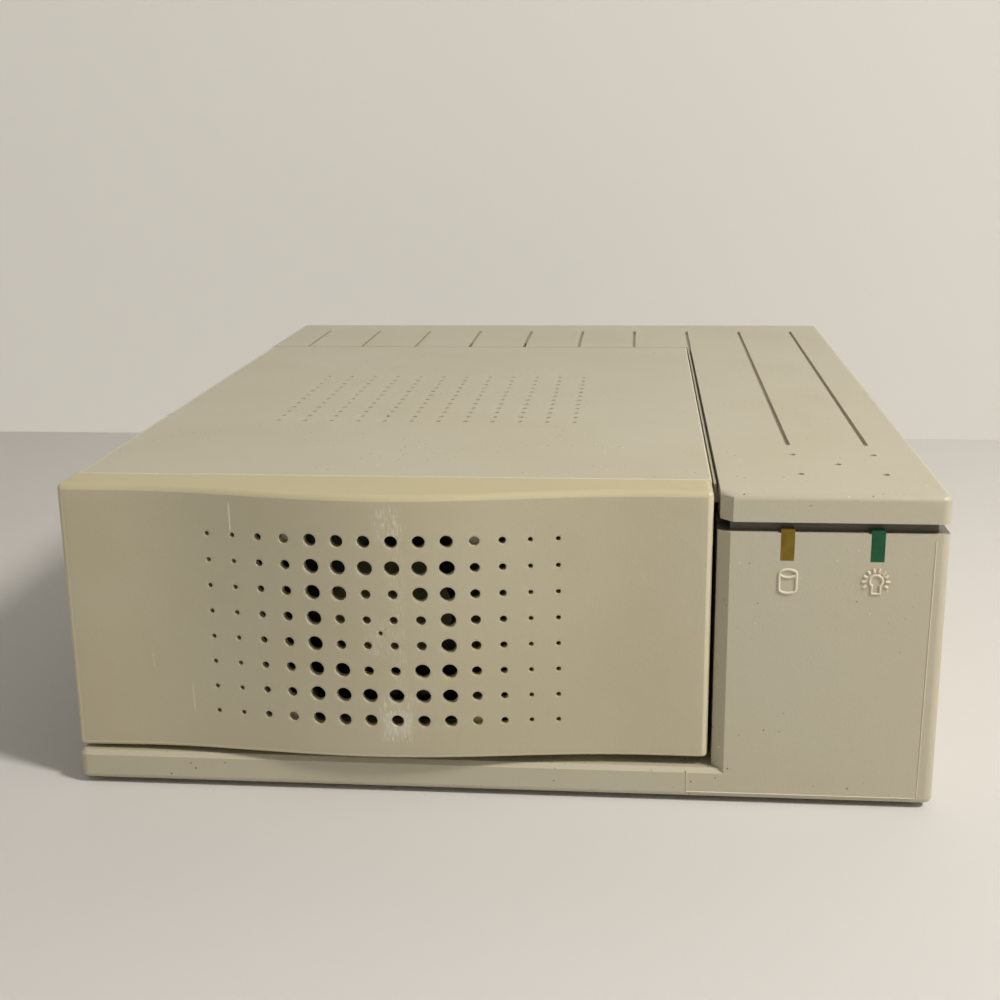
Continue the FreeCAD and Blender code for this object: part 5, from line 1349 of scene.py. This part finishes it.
@dataclass
class ColumnMarks:
    """What is raised on the front of the column: two pictograms and the thin line of the mould insert."""

    face_y: float = -102.6 * MM
    bead: float = 0.27 * MM
    line: float = 0.11 * MM
    # How far the raised strokes are lightened: a painted highlight.
    painted_highlight: float = 1.5
    drum_x: float = 54.0 * MM
    drum_z: float = 44.6 * MM
    drum_width: float = 3.1 * MM
    drum_height: float = 4.5 * MM
    drum_rise: float = 0.75 * MM
    lamp_x: float = 69.7 * MM
    lamp_z: float = 44.9 * MM
    bulb_radius: float = 1.15 * MM
    lamp_neck: float = 0.75 * MM
    ray_start: float = 1.75 * MM
    ray_end: float = 2.5 * MM
    rays: int = 10

    def point(self, x: float, z: float) -> Vector:
        """A point on the front of the column."""
        return Vector((x, self.face_y, z))

    def arc(self, x: float, z: float, width: float, height: float, start: float, end: float) -> list[Vector]:
        """Points along part of an ellipse.

        Args:
            x: its middle across.
            z: its middle up.
            width: its half width.
            height: its half height.
            start: angle of the first point, in degrees.
            end: angle of the last point, in degrees.

        Returns:
            The points.
        """
        steps = max(4, round(abs(end - start) / 24))
        turns = [math.radians(start + (end - start) * step / steps) for step in range(steps + 1)]
        return [self.point(x + width * math.cos(turn), z + height * math.sin(turn)) for turn in turns]

    def drum(self) -> list[bmesh.types.BMesh]:
        """The disk drum: an ellipse above, two sides and a curved foot."""
        half, rise = self.drum_width / 2, self.drum_rise
        low, high = self.drum_z - self.drum_height / 2 + rise, self.drum_z + self.drum_height / 2 - rise
        lid = self.arc(self.drum_x, high, half, rise, 0, 360)[:-1]
        body = [self.point(self.drum_x - half, high)]
        body += self.arc(self.drum_x, low, half, rise, 180, 360)
        body += [self.point(self.drum_x + half, high)]
        return [Workshop.swept(lid, self.bead, ring=True), Workshop.swept(body, self.bead)]

    def lamp(self) -> list[bmesh.types.BMesh]:
        """The lamp: a bulb, its cap and the rays around it."""
        x, z, radius = self.lamp_x, self.lamp_z, self.bulb_radius
        bulb = self.arc(x, z, radius, radius, -55, 235)
        neck = self.lamp_neck
        foot = [
            self.point(x - neck, z - radius * 0.9),
            self.point(x - neck, z - radius * 2.05),
            self.point(x + neck, z - radius * 2.05),
            self.point(x + neck, z - radius * 0.9),
        ]
        strokes = [Workshop.swept(bulb, self.bead), Workshop.swept(foot, self.bead)]
        for number in range(self.rays):
            turn = math.radians(-30 + number * 240 / (self.rays - 1))
            ends = [
                self.point(x + reach * math.cos(turn), z + reach * math.sin(turn))
                for reach in (self.ray_start, self.ray_end)
            ]
            strokes.append(Workshop.swept(ends, self.bead))
        return strokes

    def witness(self) -> list[bmesh.types.BMesh]:
        """The thin raised line around the mould insert."""
        stops = [(36.6, 6.6), (36.6, 2.2), (79.4, 2.2), (79.9, 52.6)]
        path = [self.point(x * MM, z * MM) for x, z in stops]
        return [Workshop.swept(path, self.line, 6)]

    def build(self, paintbox: Paintbox) -> bpy.types.Object:
        """Model and finish the marks.

        Args:
            paintbox: the finishes.

        Returns:
            The marks as one piece.
        """
        whole = Workshop.joined(self.drum() + self.lamp() + self.witness())
        # Painted highlight: every stroke is lightened in colour as the light on a raised line.
        abrasion_and_highlight = whole.faces.layers.float.get(WEAR_AND_HIGHLIGHT) or whole.faces.layers.float.new(WEAR_AND_HIGHLIGHT)
        for face in whole.faces:
            face[abrasion_and_highlight] = self.painted_highlight
        marks = Workshop.finished(whole, "column_marks")
        paintbox.paint(marks, "case_plastic")
        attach(marks, "case")
        log.info("column marks built")
        return marks


@dataclass
class WireBails:
    """The four spring wire bails that hold the plugs."""

    centre_x: float = -20.5 * MM
    pivot: float = 38.3 * MM
    reach: float = 13.0 * MM
    plane_y: float = 105.0 * MM
    levels: tuple[float, float] = (17.5 * MM, 43.0 * MM)
    radius: float = 0.68 * MM
    bend: float = 1.7 * MM
    outer: float = 6.8 * MM
    inner: float = 3.7 * MM

    def rounded(self, stops: Sequence[Vector]) -> list[Vector]:
        """Turn the corners of a path into arcs.

        Args:
            stops: the corners of the path.

        Returns:
            The path with a row of points at each corner.
        """
        path = [stops[0]]
        for before, corner, after in zip(stops, stops[1:], stops[2:]):
            into, out = (corner - before).normalized(), (after - corner).normalized()
            start, end = corner - into * self.bend, corner + out * self.bend
            centre = start + out * self.bend
            for step in range(7):
                turn = math.pi / 2 * step / 6
                path.append(centre + (start - centre) * math.cos(turn) + (end - centre) * math.sin(turn))
        return path + [stops[-1]]

    def build(self, paintbox: Paintbox) -> list[bpy.types.Object]:
        """Bend and finish the four bails.

        Args:
            paintbox: the finishes.

        Returns:
            The bails.
        """
        made = []
        for level, z in zip(("lower", "upper"), self.levels):
            for hand, side in (("left", -1), ("right", 1)):
                x0 = self.centre_x + side * self.pivot
                x1 = x0 + side * self.reach
                corners = [(x0, -self.outer), (x0, -self.inner), (x1, -self.inner)]
                corners += [(x1, self.inner), (x0, self.inner), (x0, self.outer)]
                stops = [Vector((x, self.plane_y, z + height)) for x, height in corners]
                wire = Workshop.swept(self.rounded(stops), self.radius, 12)
                bail = Workshop.finished(wire, f"{level}_{hand}_wire")
                paintbox.paint(bail, "wire_steel")
                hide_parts(f"{level}_{hand}_bail")
                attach(bail, f"{level}_{hand}_bail")
                made.append(bail)
        log.info("bails built")
        return made


def main() -> None:
    """Build the scene, piece by piece."""
    logging.basicConfig(level=logging.INFO, format="%(message)s")
    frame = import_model()
    paintbox = Paintbox(FINISHES)
    slots = {part["node"]: part["material_slot"] for part in frame["record"]["subparts"]}
    for name, node in frame["nodes"].items():
        paintbox.paint(node, slots[name])
    FrontPanel().build(paintbox)
    BayCover().build(paintbox)
    CaseShells().build(frame["nodes"], paintbox)
    ColumnMarks().build(paintbox)
    WireBails().build(paintbox)
    Studio().build()
    PhotoCamera().build()
    bpy.context.scene.view_settings.view_transform = "Standard"


if __name__ == "__main__":
    main()
